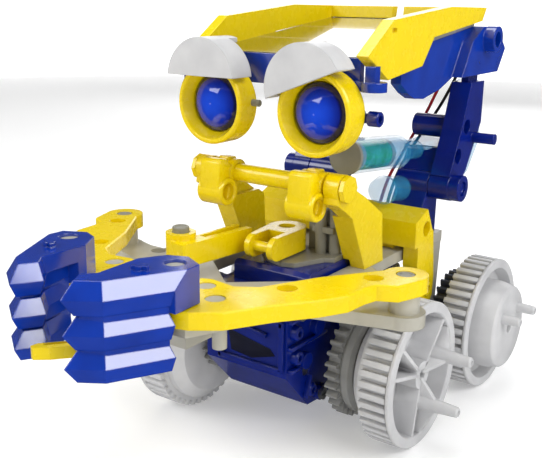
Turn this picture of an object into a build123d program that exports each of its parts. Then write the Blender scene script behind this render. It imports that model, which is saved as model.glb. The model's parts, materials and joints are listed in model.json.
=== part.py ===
from build123d import *
from math import acos, atan2, cos, degrees, pi, radians, sin, sqrt, tan
import os

# Solar robot kit: a four-wheeled toy robot built from snap-together plastic parts.
# Millimetres. It faces -Y, its left side is +X, and Z is up from the ground.

# Driving dimensions ---------------------------------------------------------
WHEEL_R = 24.0                    # tyre radius, which is also the axle height
TREAD_W = 10.6                    # width of a tread
AXLE_R = 2.0                      # plated steel axles
RUN_FIT = 0.06                    # radial gap of a shaft that turns in a bore
CLEAR = 0.3                       # gap between pieces that move past each other
PIN_R = 2.75                      # snap pins
BORE_R = PIN_R + RUN_FIT          # hole that turns on a snap pin
HOLE_R = 2.8                      # spare building hole

FRONT_LEFT_Y = 5.1                # the two front axles are separate gearbox outputs
FRONT_RIGHT_Y = -13.9
REAR_Y = 61.1
LEFT_RIM_X = 52.4                 # outer face of the left treads, and of both rear treads
RIGHT_RIM_X = -33.0               # outer face of the front right tread
PEG_REACH = 66.0                  # tips of the rear wheels' pegs

PLATE_Z, PLATE_T = 50.0, 4.0      # chassis plate
PLATE_TOP = PLATE_Z + PLATE_T
ARM_Z, ARM_TOP = 60.3, 65.0       # arms
ARM_PIVOT = (55.6, -18.3)
WRIST = (19.6, -74.3)
HAND_Z, HAND_TOP = 65.3, 75.5

BOSS = (-12.5, 77.8)              # shoulder bosses, as (y, z)
BAR = (-6.9, 83.5)                # crossbar between the yokes, as (y, z)
EYE_X, EYE_Z = 20.0, 106.2
EYE_R, EYE_FRONT, EYE_BACK = 13.1, -13.7, -5.2
LID_R, LID_Z, LID_PIN_Z = 13.5, 114.0, 111.0
LEFT_LID_TILT = 21.0
NECK = (60.3, 73.0)               # hinge of the neck, as (y, z)
HEAD = (78.5, 118.3)              # hinge of the head, as (y, z)
SIDE_IN, SIDE_OUT = 26.3, 34.0    # x of the neck arms and of the head's side blocks
CAPSULE_X = 19.5

os.makedirs("parts", exist_ok=True)


# Helpers --------------------------------------------------------------------
def save(piece, label):
    """Label a finished piece and write its STEP file."""
    piece.label = label
    export_step(piece, f"parts/{label}.step")


def side_plane(x):
    """The plane at x whose own x is +Y and own y is +Z, facing +X."""
    return Plane(origin=(x, 0, 0), x_dir=(0, 1, 0), z_dir=(1, 0, 0))


def front_plane(y):
    """The plane at y whose own x is +X and own y is +Z, facing -Y."""
    return Plane(origin=(0, y, 0), x_dir=(1, 0, 0), z_dir=(0, -1, 0))


def side_slab(points, x_low, x_high, holes=(), lugs=()):
    """A plate with a YZ outline between two x values, with round lugs and holes."""
    with BuildPart() as slab:
        with BuildSketch(side_plane(x_low)):
            Polygon(*points, align=None)
            for y, z, radius in lugs:
                with Locations((y, z)):
                    Circle(radius)
            for y, z, radius in holes:
                with Locations((y, z)):
                    Circle(radius, mode=Mode.SUBTRACT)
        extrude(amount=x_high - x_low)
    return slab.part


def frustum(low_points, low_z, high_points, high_z):
    """A faceted solid between two plan outlines with matching corners."""
    with BuildPart() as solid:
        with BuildSketch(Plane.XY.offset(low_z)):
            Polygon(*low_points, align=None)
        with BuildSketch(Plane.XY.offset(high_z)):
            Polygon(*high_points, align=None)
        loft(ruled=True)
    return solid.part


def x_rod(centre, radius, x_low, x_high, bore=0.0):
    """A round bar or tube along X, centred at (y, z)."""
    with BuildPart() as rod:
        with BuildSketch(side_plane(x_low)):
            with Locations(centre):
                Circle(radius)
                if bore:
                    Circle(bore, mode=Mode.SUBTRACT)
        extrude(amount=x_high - x_low)
    return rod.part


def z_rod(centre, radius, z_low, z_high, bore=0.0):
    """A round bar or tube along Z, centred at (x, y)."""
    with BuildPart() as rod:
        with BuildSketch(Plane.XY.offset(z_low)):
            with Locations(centre):
                Circle(radius)
                if bore:
                    Circle(bore, mode=Mode.SUBTRACT)
        extrude(amount=z_high - z_low)
    return rod.part


def mirrored(piece):
    """The same piece on the robot's other side."""
    return mirror(piece, about=Plane.YZ)


def grouped(pieces):
    """Separate solids that share one node."""
    return Compound(children=pieces)


# Gears ----------------------------------------------------------------------
BACKLASH = 0.3
PRESSURE = radians(20)


def gear_outline(teeth, module, phase):
    """Points of an involute spur gear; phase is one tooth's angle in degrees."""
    pitch_r = teeth * module / 2
    base_r = pitch_r * cos(PRESSURE)
    tip_r, root_r = pitch_r + 0.8 * module, pitch_r - 1.15 * module
    half_tooth = (pi * module / 2 - BACKLASH) / (2 * pitch_r)

    def flank(radius):
        lean = acos(min(1.0, base_r / radius))
        return half_tooth + tan(PRESSURE) - PRESSURE - (tan(lean) - lean)

    start_r = max(base_r, root_r)
    ring = [(start_r + (tip_r - start_r) * step / 4) for step in range(5)]
    side = [(radius, flank(radius)) for radius in ring]
    if root_r < base_r:
        side.insert(0, (root_r, flank(start_r)))
    tooth = [(radius, -angle) for radius, angle in side]
    tooth += [(radius, angle) for radius, angle in reversed(side)]
    points = []
    for number in range(teeth):
        middle = radians(phase) + 2 * pi * number / teeth
        points += [(r * cos(middle + a), r * sin(middle + a)) for r, a in tooth]
    return points


def gear_disc(teeth, module, phase, centre, x_low, x_high, bore=0.0):
    """A spur gear about an X axis through (y, z)."""
    with BuildPart() as gear:
        with BuildSketch(side_plane(x_low)):
            with Locations(centre):
                Polygon(*gear_outline(teeth, module, phase), align=None)
                if bore:
                    Circle(bore, mode=Mode.SUBTRACT)
        extrude(amount=x_high - x_low)
    return gear.part


def meshing_phase(centre, teeth, phase, other, other_teeth):
    """Phase of the gear at other that meshes with the gear at centre."""
    line = degrees(atan2(other[1] - centre[1], other[0] - centre[0]))
    lead = phase - line
    return line + 180 + 180 / other_teeth - lead * teeth / other_teeth


OUTPUT_TEETH, IDLER_TEETH, OUTPUT_MODULE = 10, 20, 1.0
BIG_TEETH, PINION_TEETH, PINION_MODULE = 24, 10, 0.8
GEAR_GAP = 0.05                   # centres stand this much further apart
LEFT_OUT = (FRONT_LEFT_Y, WHEEL_R)
RIGHT_OUT = (FRONT_RIGHT_Y, WHEEL_R)
OUTPUT_REACH = (OUTPUT_TEETH + IDLER_TEETH) * OUTPUT_MODULE / 2 + GEAR_GAP
HALF_SPAN = (FRONT_LEFT_Y - FRONT_RIGHT_Y) / 2
IDLER = (FRONT_RIGHT_Y + HALF_SPAN, WHEEL_R + sqrt(OUTPUT_REACH**2 - HALF_SPAN**2))
PINION_REACH = (BIG_TEETH + PINION_TEETH) * PINION_MODULE / 2 + GEAR_GAP
MOTOR_RISE = 2.6                  # the motor's shaft stands this much above the idler
MOTOR = (IDLER[0] + sqrt(PINION_REACH**2 - MOTOR_RISE**2), IDLER[1] + MOTOR_RISE)
TRAIN_X = (14.4, 18.0)            # output and idler gears
BIG_X = (10.4, 13.4)              # gear that the motor's pinion turns

LEFT_PHASE = 0.0
IDLER_PHASE = meshing_phase(LEFT_OUT, OUTPUT_TEETH, LEFT_PHASE, IDLER, IDLER_TEETH)
RIGHT_PHASE = meshing_phase(IDLER, IDLER_TEETH, IDLER_PHASE, RIGHT_OUT, OUTPUT_TEETH)
PINION_PHASE = meshing_phase(IDLER, BIG_TEETH, 0.0, MOTOR, PINION_TEETH)

# Gearbox --------------------------------------------------------------------
BOX_RIGHT, BOX_SPLIT, BOX_LEFT = -12.0, 4.0, 20.0
BOX_WALL = 1.6
BOX_OUTLINE = [(-25, 50), (-25, 24.7), (-12.5, 11), (2, 10), (12, 10.5), (45, 30), (45, 50)]
BOX_ROOF = 1.1                    # thinner over the gears
BOSS_RISE = 2.4
SCREWS = [(-21.2, 45.8), (-8.1, 14.2), (40, 45)]
CAPS = [(-16.4, 28.6), (-9.5, 38.0)]      # blind bosses over the bearings
SHAFT_R = 1.0


def gearbox_half(x_outer, inward):
    """One shell of the gearbox, closed at x_outer and open at the split."""
    depth = abs(BOX_SPLIT - x_outer)
    plane = Plane(origin=(x_outer, 0, 0), x_dir=(0, 1, 0), z_dir=(1, 0, 0))
    with BuildPart() as half:
        with BuildSketch(plane):
            Polygon(*BOX_OUTLINE, align=None)
        extrude(amount=inward * depth)
        with BuildSketch(plane.offset(inward * BOX_WALL)):
            Polygon(*BOX_OUTLINE, align=None)
            offset(amount=-BOX_WALL, kind=Kind.INTERSECTION)
        extrude(amount=inward * depth, mode=Mode.SUBTRACT)
        with BuildSketch(plane.offset(inward * BOX_WALL)):
            with Locations((5, PLATE_Z - BOX_WALL)):
                Rectangle(44, 2 * (BOX_WALL - BOX_ROOF))
        extrude(amount=inward * depth, mode=Mode.SUBTRACT)
        with BuildSketch(plane.offset(-inward * BOSS_RISE)):
            with Locations(*SCREWS):
                Circle(2.4)
        extrude(amount=inward * (BOSS_RISE + depth))
        if inward < 0:
            with BuildSketch(plane):
                with Locations(*CAPS):
                    Circle(2.8)
            extrude(amount=BOSS_RISE)
        with BuildSketch(plane.offset(-inward * (BOSS_RISE + 0.1))):
            with Locations(*SCREWS):
                Circle(1.2)
        extrude(amount=inward * (depth + 3), mode=Mode.SUBTRACT)
        with BuildSketch(plane.offset(-inward)):
            with Locations(LEFT_OUT, RIGHT_OUT):
                Circle(AXLE_R + RUN_FIT)
            with Locations(IDLER):
                Circle(SHAFT_R + RUN_FIT)
        extrude(amount=inward * (BOX_WALL + 1.5), mode=Mode.SUBTRACT)
    return half.part


save(gearbox_half(BOX_LEFT, -1), "gearbox_left")
save(gearbox_half(BOX_RIGHT, 1), "gearbox_right")

screws = []
for screw in SCREWS:
    with BuildPart() as gearbox_screw:
        with BuildSketch(side_plane(BOX_LEFT + BOSS_RISE)):
            with Locations(screw):
                Circle(2.0)
        extrude(amount=1.2)
        with BuildSketch(side_plane(BOX_RIGHT + 6)):
            with Locations(screw):
                Circle(1.2)
        extrude(amount=BOX_LEFT + BOSS_RISE - BOX_RIGHT - 6)
        with BuildSketch(side_plane(BOX_LEFT + BOSS_RISE + 0.6)):
            with Locations(screw):
                Rectangle(2.6, 0.6)
                Rectangle(0.6, 2.6)
        extrude(amount=2, mode=Mode.SUBTRACT)
    screws.append(gearbox_screw.part)
save(grouped(screws), "gearbox_screws")

MOTOR_X = (-10.0, 7.0)
MOTOR_WIDE, MOTOR_FLAT = 20.0, 15.0
with BuildPart() as motor:
    with BuildSketch(side_plane(MOTOR_X[0])):
        with Locations(MOTOR):
            Circle(MOTOR_WIDE / 2)
            Rectangle(MOTOR_WIDE, MOTOR_FLAT, mode=Mode.INTERSECT)
    extrude(amount=MOTOR_X[1] - MOTOR_X[0])
    with BuildSketch(side_plane(3)):
        with Locations(MOTOR):
            Circle(SHAFT_R + RUN_FIT)
    extrude(amount=5, mode=Mode.SUBTRACT)
save(motor.part, "motor")

COVER_TOP = 56.4
with BuildPart() as motor_cover:
    with BuildSketch(Plane.XY.offset(PLATE_Z)):
        with Locations((6.25, -2.5)):
            Rectangle(29.5, 25)
    extrude(amount=COVER_TOP - PLATE_Z)
    top_front = motor_cover.edges().group_by(Axis.Z)[-1].sort_by(Axis.Y)[0]
    chamfer(top_front, 1.4)
    top_left = motor_cover.edges().group_by(Axis.Z)[-1].sort_by(Axis.X)[0]
    fillet(top_left, 1.0)
save(motor_cover.part, "motor_cover")

# Drive train ----------------------------------------------------------------
with BuildPart() as motor_pinion:
    with BuildSketch(side_plane(BIG_X[0] - 0.2)):
        with Locations(MOTOR):
            Polygon(*gear_outline(PINION_TEETH, PINION_MODULE, PINION_PHASE), align=None)
    extrude(amount=BIG_X[1] - BIG_X[0] + 0.4)
    with BuildSketch(side_plane(3.4)):
        with Locations(MOTOR):
            Circle(SHAFT_R)
    extrude(amount=BIG_X[1] - 3.4)
save(motor_pinion.part, "motor_pinion")

with BuildPart() as idler_gear:
    with BuildSketch(side_plane(BOX_RIGHT + 0.4)):
        with Locations(IDLER):
            Circle(SHAFT_R)
    extrude(amount=BOX_LEFT - BOX_RIGHT - 0.8)
    with BuildSketch(side_plane(BIG_X[0])):
        with Locations(IDLER):
            Polygon(*gear_outline(BIG_TEETH, PINION_MODULE, 0.0), align=None)
    extrude(amount=BIG_X[1] - BIG_X[0])
    with BuildSketch(side_plane(BIG_X[1])):
        with Locations(IDLER):
            Circle(4.5)
    extrude(amount=TRAIN_X[0] - BIG_X[1])
    with BuildSketch(side_plane(TRAIN_X[0])):
        with Locations(IDLER):
            Polygon(*gear_outline(IDLER_TEETH, OUTPUT_MODULE, IDLER_PHASE), align=None)
    extrude(amount=TRAIN_X[1] - TRAIN_X[0])
save(idler_gear.part, "idler_gear")

save(x_rod(LEFT_OUT, AXLE_R, BOX_RIGHT + 0.4, 48.0), "left_axle")
save(x_rod(RIGHT_OUT, AXLE_R, -29.0, BOX_LEFT - 0.4), "right_axle")
save(x_rod((REAR_Y, WHEEL_R), AXLE_R, -51.0, 51.0), "rear_axle")
save(gear_disc(OUTPUT_TEETH, OUTPUT_MODULE, LEFT_PHASE, LEFT_OUT, *TRAIN_X, AXLE_R), "left_output_gear")
save(gear_disc(OUTPUT_TEETH, OUTPUT_MODULE, RIGHT_PHASE, RIGHT_OUT, *TRAIN_X, AXLE_R), "right_output_gear")
save(gear_disc(14, 1.0, 0, RIGHT_OUT, -16.8, -12.6, AXLE_R), "right_hub_gear")
save(gear_disc(28, 1.15, 0, (REAR_Y, WHEEL_R), 34.8, 39.2, AXLE_R), "rear_gear")

FLANGE = [(31, AXLE_R), (31, 16.6), (32.2, 17.4), (34.4, 17.4), (35.6, 16.0), (35.6, 12.0), (34.0, 11.0)]
FLANGE += [(34.0, AXLE_R)]
with BuildPart() as drive_gear:
    with BuildSketch(side_plane(27.0)):
        with Locations(LEFT_OUT):
            Polygon(*gear_outline(32, 1.15, 0), align=None)
            Circle(AXLE_R, mode=Mode.SUBTRACT)
    extrude(amount=4.2)
    with BuildSketch(Plane(origin=(0, *LEFT_OUT), x_dir=(1, 0, 0), z_dir=(0, -1, 0))):
        Polygon(*FLANGE, align=None)
    revolve(axis=Axis((0, *LEFT_OUT), (1, 0, 0)))
save(drive_gear.part, "drive_gear")

# Wheels ---------------------------------------------------------------------
RIM_R, HUB_R, PEG_ORBIT = 20.7, 4.6, 9.3
WEB_T, RIM_DEPTH = 1.3, 8.6


def wheel(centre_y, rim_x, out, profile, pegs, tip_x, peg_radii, web_from):
    """A moulded wheel about an X axis.

    profile is the half section as (distance inward from rim_x, radius); out is the X
    sign of the outer face; pegs are angles in degrees from +Y towards +Z; web_from is
    the depth of the floor that the webs stand on, seen from the open face.
    """
    centre = (centre_y, WHEEL_R)
    section = [(rim_x - out * depth, radius) for depth, radius in profile]
    with BuildPart() as body:
        with BuildSketch(Plane(origin=(0, *centre), x_dir=(1, 0, 0), z_dir=(0, -1, 0))):
            Polygon(*section, align=None)
        revolve(axis=Axis((0, *centre), (1, 0, 0)))
        floor_x, edge_x = (rim_x - out * depth for depth in web_from)
        web_plane = Plane(origin=(floor_x, *centre), x_dir=(0, 1, 0), z_dir=(1, 0, 0))
        with BuildSketch(web_plane):
            Circle(HUB_R)
            for angle in pegs + [sum(pegs) / 2 + 180]:
                for spread in (-14, 14):
                    with Locations(Rot(0, 0, angle + spread)):
                        with Locations((RIM_R / 2, 0)):
                            Rectangle(RIM_R + 0.4, WEB_T)
        extrude(amount=edge_x - floor_x)
        for angle in pegs:
            spot = (centre_y + PEG_ORBIT * cos(radians(angle)), WHEEL_R + PEG_ORBIT * sin(radians(angle)))
            root_x = floor_x if abs(tip_x) > abs(floor_x) else edge_x
            with BuildSketch(Plane(origin=(root_x, *spot), x_dir=(0, 1, 0), z_dir=(1, 0, 0))):
                Circle(peg_radii[0])
            with BuildSketch(Plane(origin=(tip_x, *spot), x_dir=(0, 1, 0), z_dir=(1, 0, 0))):
                Circle(peg_radii[1])
            loft()
        with BuildSketch(Plane(origin=(rim_x - 40, *centre), x_dir=(0, 1, 0), z_dir=(1, 0, 0))):
            Circle(AXLE_R)
        extrude(amount=80, mode=Mode.SUBTRACT)
    return body.part


SHOULDER = [(0, WHEEL_R), (0, RIM_R), (RIM_DEPTH, RIM_R), (RIM_DEPTH, 0), (TREAD_W + 5.3, 0)]
SHOULDER += [(TREAD_W + 5.3, 17.4), (TREAD_W + 2.2, 20.4), (TREAD_W, 20.4), (TREAD_W, WHEEL_R)]
BOSS_SIDE = [(0, WHEEL_R), (0, RIM_R), (4.0, 19.6), (4.0, 16.2), (-0.6, 16.2), (-2.2, 16.0)]
BOSS_SIDE += [(-6.2, 15.0), (-7.0, 13.7), (-7.0, 0), (5.6, 0), (5.6, 20.7), (TREAD_W, 21.2)]
BOSS_SIDE += [(TREAD_W, WHEEL_R)]
OPEN_WEB = (RIM_DEPTH, 0.5)
BACK_WEB = (5.5, TREAD_W - 0.6)

save(wheel(FRONT_LEFT_Y, LEFT_RIM_X, 1, SHOULDER, [-89, 31], LEFT_RIM_X + 12.5, (3.2, 1.7), OPEN_WEB),
     "front_left_wheel")
save(wheel(FRONT_RIGHT_Y, RIGHT_RIM_X, -1, SHOULDER, [149, 269], RIGHT_RIM_X - 12.5, (3.2, 1.7), OPEN_WEB),
     "front_right_wheel")
save(wheel(REAR_Y, LEFT_RIM_X, 1, BOSS_SIDE, [37, 143], PEG_REACH, (2.3, 1.6), BACK_WEB),
     "rear_left_wheel")
save(wheel(REAR_Y, -LEFT_RIM_X, -1, BOSS_SIDE, [37, 143], -PEG_REACH, (2.3, 1.6), BACK_WEB),
     "rear_right_wheel")

# Chassis --------------------------------------------------------------------
STRUT = [(55.6, -12.1), (46.3, -14.9), (17.3, -15.4), (1.1, -29.2), (-1, -31), (-1, -38), (20, -35)]
STRUT += [(38.4, -29.5), (58.5, -23.7)]
DECK = [(-40, -17), (-40, -6), (-36, 6), (-27.6, 12), (-27.6, 68), (27.6, 68), (27.6, 12), (36, 6)]
DECK += [(40, -6), (40, -17), (25, -17), (22, -15), (22, 11), (-17, 11), (-17, -15), (-20, -17)]
LINK_PIVOT = (-16.5, -32.0)
CLEVIS_PIVOT = (2.3, -0.2)

with BuildPart() as chassis_plate:
    with BuildSketch(Plane.XY.offset(PLATE_Z)):
        Polygon(*DECK, align=None)
        for side in (1, -1):
            Polygon(*[(side * x, y) for x, y in STRUT], align=None)
            with Locations((side * ARM_PIVOT[0], ARM_PIVOT[1])):
                Circle(6.2)
        with Locations(LINK_PIVOT):
            Circle(5.0)
    extrude(amount=PLATE_T)
    with BuildSketch(Plane.XY.offset(PLATE_TOP)):
        for side in (1, -1):
            with Locations((side * ARM_PIVOT[0], ARM_PIVOT[1])):
                Circle(4.4)
    extrude(amount=ARM_Z - CLEAR - PLATE_TOP)
    with BuildSketch(Plane.XY.offset(PLATE_Z - 1)):
        with Locations((ARM_PIVOT[0], ARM_PIVOT[1]), (-ARM_PIVOT[0], ARM_PIVOT[1]), LINK_PIVOT):
            Circle(PIN_R)
        with Locations((-39.6, -18), (39.6, -20), (22, 58), (-22, 58), (0, 58)):
            Circle(HOLE_R)
    extrude(amount=20, mode=Mode.SUBTRACT)
save(chassis_plate.part, "chassis_plate")


def axle_bracket(x_low):
    """A hanger that carries the rear axle under the deck."""
    outline = [(REAR_Y - 8, PLATE_Z), (REAR_Y - 6, 36), (REAR_Y - 4.4, 22), (REAR_Y + 4.4, 22)]
    outline += [(REAR_Y + 5.6, 36), (REAR_Y + 6.8, PLATE_Z)]
    return side_slab(outline, x_low, x_low + 3.4, holes=[(REAR_Y, WHEEL_R, AXLE_R + RUN_FIT)],
                     lugs=[(REAR_Y, WHEEL_R, 5.2)])


save(grouped([axle_bracket(24.0), axle_bracket(-27.4)]), "axle_brackets")

# Arms and hands -------------------------------------------------------------
ARM = [(62, -20.5), (59, -28.9), (53.6, -31.5), (52.5, -35.9), (52, -43.5), (48, -51), (40.5, -61.1)]
ARM += [(33.7, -72.8), (27, -78), (22.7, -79.4), (17.5, -79.0), (14.6, -74.5), (16, -71), (13.5, -69)]
ARM += [(12, -67.2), (12, -55.8), (15.4, -54.4), (23.6, -55.6), (29.3, -51.9), (37.7, -35.1)]
ARM += [(48.7, -19.3), (52.9, -13.6)]
ARM_HOLES = [(50.1, -26.9), (35.9, -48.4)]
BRACKET_PINS = [(17.4, -59.9), (25.6, -66.0)]

with BuildPart() as left_arm:
    with BuildSketch(Plane.XY.offset(ARM_Z)):
        Polygon(*ARM, align=None)
        with Locations(ARM_PIVOT):
            Circle(6.4)
        with Locations(*ARM_HOLES):
            Circle(HOLE_R, mode=Mode.SUBTRACT)
        with Locations(*BRACKET_PINS, WRIST):
            Circle(PIN_R, mode=Mode.SUBTRACT)
        with Locations(ARM_PIVOT):
            Circle(BORE_R, mode=Mode.SUBTRACT)
    extrude(amount=ARM_TOP - ARM_Z)
    long_edges = left_arm.edges().group_by(Axis.Z)[-1].filter_by(GeomType.LINE)
    chamfer(long_edges, 0.35)
save(left_arm.part, "left_arm")
save(mirrored(left_arm.part), "right_arm")

with BuildPart() as left_wrist_bracket:
    with BuildSketch(Plane.XY.offset(57.3)):
        Polygon((12.2, -58.5), (26.5, -60), (30, -66), (25, -77), (16, -77), (12.2, -70), align=None)
    extrude(amount=ARM_Z - 57.3)
    with BuildSketch(Plane.XY.offset(PLATE_Z)):
        with Locations((15.4, -64)):
            Rectangle(6, 11)
        with Locations((24.5, -63)):
            Circle(2.0)
    extrude(amount=57.3 - PLATE_Z)
    with BuildSketch(Plane.XY.offset(ARM_Z)):
        with Locations(*BRACKET_PINS):
            Circle(PIN_R)
    extrude(amount=ARM_TOP - ARM_Z - 0.3)
    with BuildSketch(Plane.XY.offset(ARM_Z)):
        with Locations(WRIST):
            Circle(PIN_R)
    extrude(amount=HAND_TOP - 0.8 - ARM_Z)
save(left_wrist_bracket.part, "left_wrist_bracket")
save(mirrored(left_wrist_bracket.part), "right_wrist_bracket")

FINGER = [(9.2, -102.5), (4.9, -95.4), (9.3, -91.0), (12.2, -81.3), (25.8, -81.3), (17.6, -97.0)]
FINGER_TOP = [(10.0, -98.9), (7.5, -94.7), (10.3, -91.4), (12.8, -81.3), (22.9, -81.3), (15.6, -95.2)]
FINGER_FOOT = [(10.6, -99.8), (7.5, -94.7), (10.2, -91.4), (12.4, -81.3), (24.3, -81.3), (16.5, -96.0)]
FINGER_LEVELS = [(75.5, 71.3, 67.1), (66.3, 62.4, 58.4), (57.8, 54.0, 50.0)]
PALM = [(9.8, -80), (9.8, -77.2), (13.7, -70.5), (18.9, -68.4), (25.3, -71.6)]
FIRST = FINGER[:3] + PALM + FINGER[4:]
FIRST_TOP = FINGER_TOP[:3] + PALM + [(25.6, -76.3), FINGER_TOP[5]]
CORE = [(11.0, -98.4), (9.0, -94.6), (11.2, -91.4), (12.4, -81.3), (23.8, -81.3), (16.2, -95.4)]

with BuildPart() as left_hand:
    add(frustum(FIRST, FINGER_LEVELS[0][1], FIRST_TOP, FINGER_LEVELS[0][0]))
    for top, middle, bottom in FINGER_LEVELS[1:]:
        add(frustum(FINGER, middle, FINGER_TOP, top))
    for top, middle, bottom in FINGER_LEVELS:
        add(frustum(FINGER_FOOT, bottom, FINGER, middle))
    with BuildSketch(Plane.XY.offset(FINGER_LEVELS[-1][2] + 1)):
        Polygon(*CORE, align=None)
    extrude(amount=22)
    with BuildSketch(Plane.XY.offset(HAND_Z)):
        Polygon(*PALM, (25.8, -81.3), (12.2, -81.3), align=None)
    extrude(amount=FINGER_LEVELS[0][1] - HAND_Z)
    with BuildSketch(Plane.XY.offset(HAND_Z)):
        with Locations(WRIST):
            Circle(BORE_R)
    extrude(amount=HAND_TOP - HAND_Z, mode=Mode.SUBTRACT)
    with BuildSketch(Plane.XY.offset(HAND_TOP)):
        with Locations((16.6, -83.5)):
            Rectangle(4.2, 1.6, rotation=20)
            Rectangle(1.4, 3.0, rotation=20)
    extrude(amount=1.2)
save(left_hand.part, "left_hand")
save(mirrored(left_hand.part), "right_hand")

THUMB = [(-3.7, -99.5), (-3.9, -101.6), (-2.4, -102.2), (0.8, -99.6), (8.5, -90.4), (11.4, -88.4)]
THUMB += [(11.4, -86), (7.2, -86.6)]
THUMB_Z, THUMB_T = 53.2, 3.2
with BuildPart() as thumb:
    with BuildSketch(Plane.XY.offset(THUMB_Z)):
        Polygon(*THUMB, align=None)
        Polygon((11.4, -88.5), (11.4, -86), (14, -86), (14, -88.5), align=None)
        Polygon((-1.6, -99.3), (5.6, -90.4), (4.6, -89.4), (-2.4, -98.4), align=None, mode=Mode.SUBTRACT)
    extrude(amount=THUMB_T)
thumb_piece = thumb.part - left_hand.part
save(thumb_piece.solids().sort_by(SortBy.VOLUME)[-1], "thumb")

# Torso ----------------------------------------------------------------------
YOKE_X = (12.4, 22.6)
YOKE = [(-17.1, 78), (-16.8, 84), (-15.6, 88.9), (-9.6, 88.9), (-4.0, 87.6), (-2.6, 84), (-3.2, 79)]
YOKE += [(-9, 73.6), (-12, 73.3)]
BAR_R = 3.0
yoke = side_slab(YOKE, *YOKE_X, holes=[(*BOSS, HOLE_R), (*BAR, BAR_R)], lugs=[(*BOSS, 4.6), (*BAR, 4.4)])
save(yoke, "yoke_left")
save(mirrored(yoke), "yoke_right")
save(x_rod(BAR, BAR_R, -28.4, 28.4, bore=1.2), "crossbar")

CAP_X = 28.4
with BuildPart() as cap:
    with BuildSketch(side_plane(CAP_X)):
        with Locations(BAR):
            RegularPolygon(4.4, 8)
    extrude(amount=1.6)
    with BuildSketch(side_plane(CAP_X - 4)):
        with Locations(BAR):
            Circle(1.2)
    extrude(amount=4)
save(grouped([cap.part, mirrored(cap.part)]), "cap_pins")

LEG_X = (22.9, 28.1)
LEG = [(-11.0, 79), (-9, 86.5), (-5, 87), (-1.3, 82.5), (6.2, 78.5), (18.1, 70.8), (18.8, 61.3)]
LEG += [(19.9, PLATE_TOP), (7.4, PLATE_TOP), (-1.7, 73), (-6, 76)]
LEG_INNER_X = 20.7
LEG_SHIN = [(6.1, 56.7), (-1.6, 72.9), (14.8, 72.9), (18.1, 70.8), (18.8, 61.3), (19.5, 56.7)]
with BuildPart() as left_leg:
    add(side_slab(LEG, *LEG_X, holes=[(*BAR, BAR_R)], lugs=[(*BAR, 4.4)]))
    add(side_slab(LEG_SHIN, LEG_INNER_X, LEG_X[0] + 0.5))
leg = left_leg.part
save(leg, "leg_left")
save(mirrored(leg), "leg_right")

FRAME_X = 34.0
BEAM = [(32, 56), (31.9, 65.3), (40.7, 68.7), (46.2, 58.7), (46.2, 56)]
COLUMN = [(34.5, 60), (34.5, 49), (39.4, 35), (41.5, 32.6), (46, 32.6), (48.2, 35), (48.6, 42), (46.2, 60)]
FRAME_PIN = (43.8, 38.2)
with BuildPart() as rear_frame:
    with BuildSketch(side_plane(-FRAME_X)):
        Polygon(*BEAM, align=None)
    extrude(amount=2 * FRAME_X)
    for low in (28.3, -FRAME_X):
        with BuildSketch(side_plane(low)):
            Polygon(*COLUMN, align=None)
        extrude(amount=FRAME_X - 28.3)
    with BuildSketch(side_plane(-FRAME_X - 1)):
        with Locations(FRAME_PIN, (40.5, 61.5)):
            Circle(PIN_R)
    extrude(amount=2 * FRAME_X + 2, mode=Mode.SUBTRACT)
    with BuildSketch(Plane.XY.offset(PLATE_TOP)):
        with Locations((20, 39), (-20, 39)):
            Rectangle(8, 8)
    extrude(amount=2.5)
save(rear_frame.part, "rear_frame")

# Neck -----------------------------------------------------------------------
BRACKET_X = (13.0, 26.0)
STOP = (72.3, 93.2)
LOWER_NECK = [(48.6, PLATE_TOP), (50.4, 62), (64.6, 86), (77.5, 84.2), (64.8, 67), (64.5, PLATE_TOP)]
with BuildPart() as neck_bracket:
    with BuildSketch(side_plane(BRACKET_X[0])):
        Polygon(*LOWER_NECK, align=None)
        with Locations(NECK):
            Circle(5.0)
        with Locations(NECK):
            Circle(PIN_R, mode=Mode.SUBTRACT)
    extrude(amount=BRACKET_X[1] - BRACKET_X[0])
    with BuildSketch(side_plane(BRACKET_X[0] - 0.5)):
        with Locations(STOP):
            Circle(4.3)
    extrude(amount=BRACKET_X[1] - BRACKET_X[0] + 0.5)
    with BuildSketch(side_plane(24.0)):
        Polygon((68.5, 84), (68.5, 93), (76.2, 93), (76.2, 84), align=None)
    extrude(amount=2.0)
save(neck_bracket.part, "neck_bracket_left")
save(mirrored(neck_bracket.part), "neck_bracket_right")

NECK_ARM = [(57, 77.4), (64.9, 93.2), (71.3, 110.2), (83.1, 110.2), (82.9, 94.7), (71.5, 78), (65, 71)]
TONGUE = [(73.8, 110.2), (74.6, 118.3), (82.4, 118.3), (82.4, 110.2)]
TONGUE_X = (28.8, 31.5)
HEAD_PIN_R = 1.5
with BuildPart() as neck_arm:
    with BuildSketch(side_plane(SIDE_IN)):
        Polygon(*NECK_ARM, align=None)
        with Locations(NECK):
            Circle(5.0)
        with Locations((69.9, 94.2), (63.6, 84)):
            Circle(HOLE_R, mode=Mode.SUBTRACT)
    extrude(amount=SIDE_OUT - SIDE_IN)
    with BuildSketch(side_plane(SIDE_OUT)):
        with Locations(NECK):
            Circle(4.8)
    extrude(amount=4.0)
    with BuildSketch(side_plane(SIDE_OUT)):
        with Locations((76.4, 89.5)):
            Circle(2.0)
    extrude(amount=8.5)
    with BuildSketch(side_plane(TONGUE_X[0])):
        Polygon(*TONGUE, align=None)
        with Locations(HEAD):
            Circle(3.9)
            Circle(HEAD_PIN_R + RUN_FIT, mode=Mode.SUBTRACT)
    extrude(amount=TONGUE_X[1] - TONGUE_X[0])
    with BuildSketch(side_plane(SIDE_IN - 1)):
        with Locations(NECK):
            Circle(BORE_R)
    extrude(amount=14, mode=Mode.SUBTRACT)
save(neck_arm.part, "neck_arm_left")
save(mirrored(neck_arm.part), "neck_arm_right")

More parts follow.
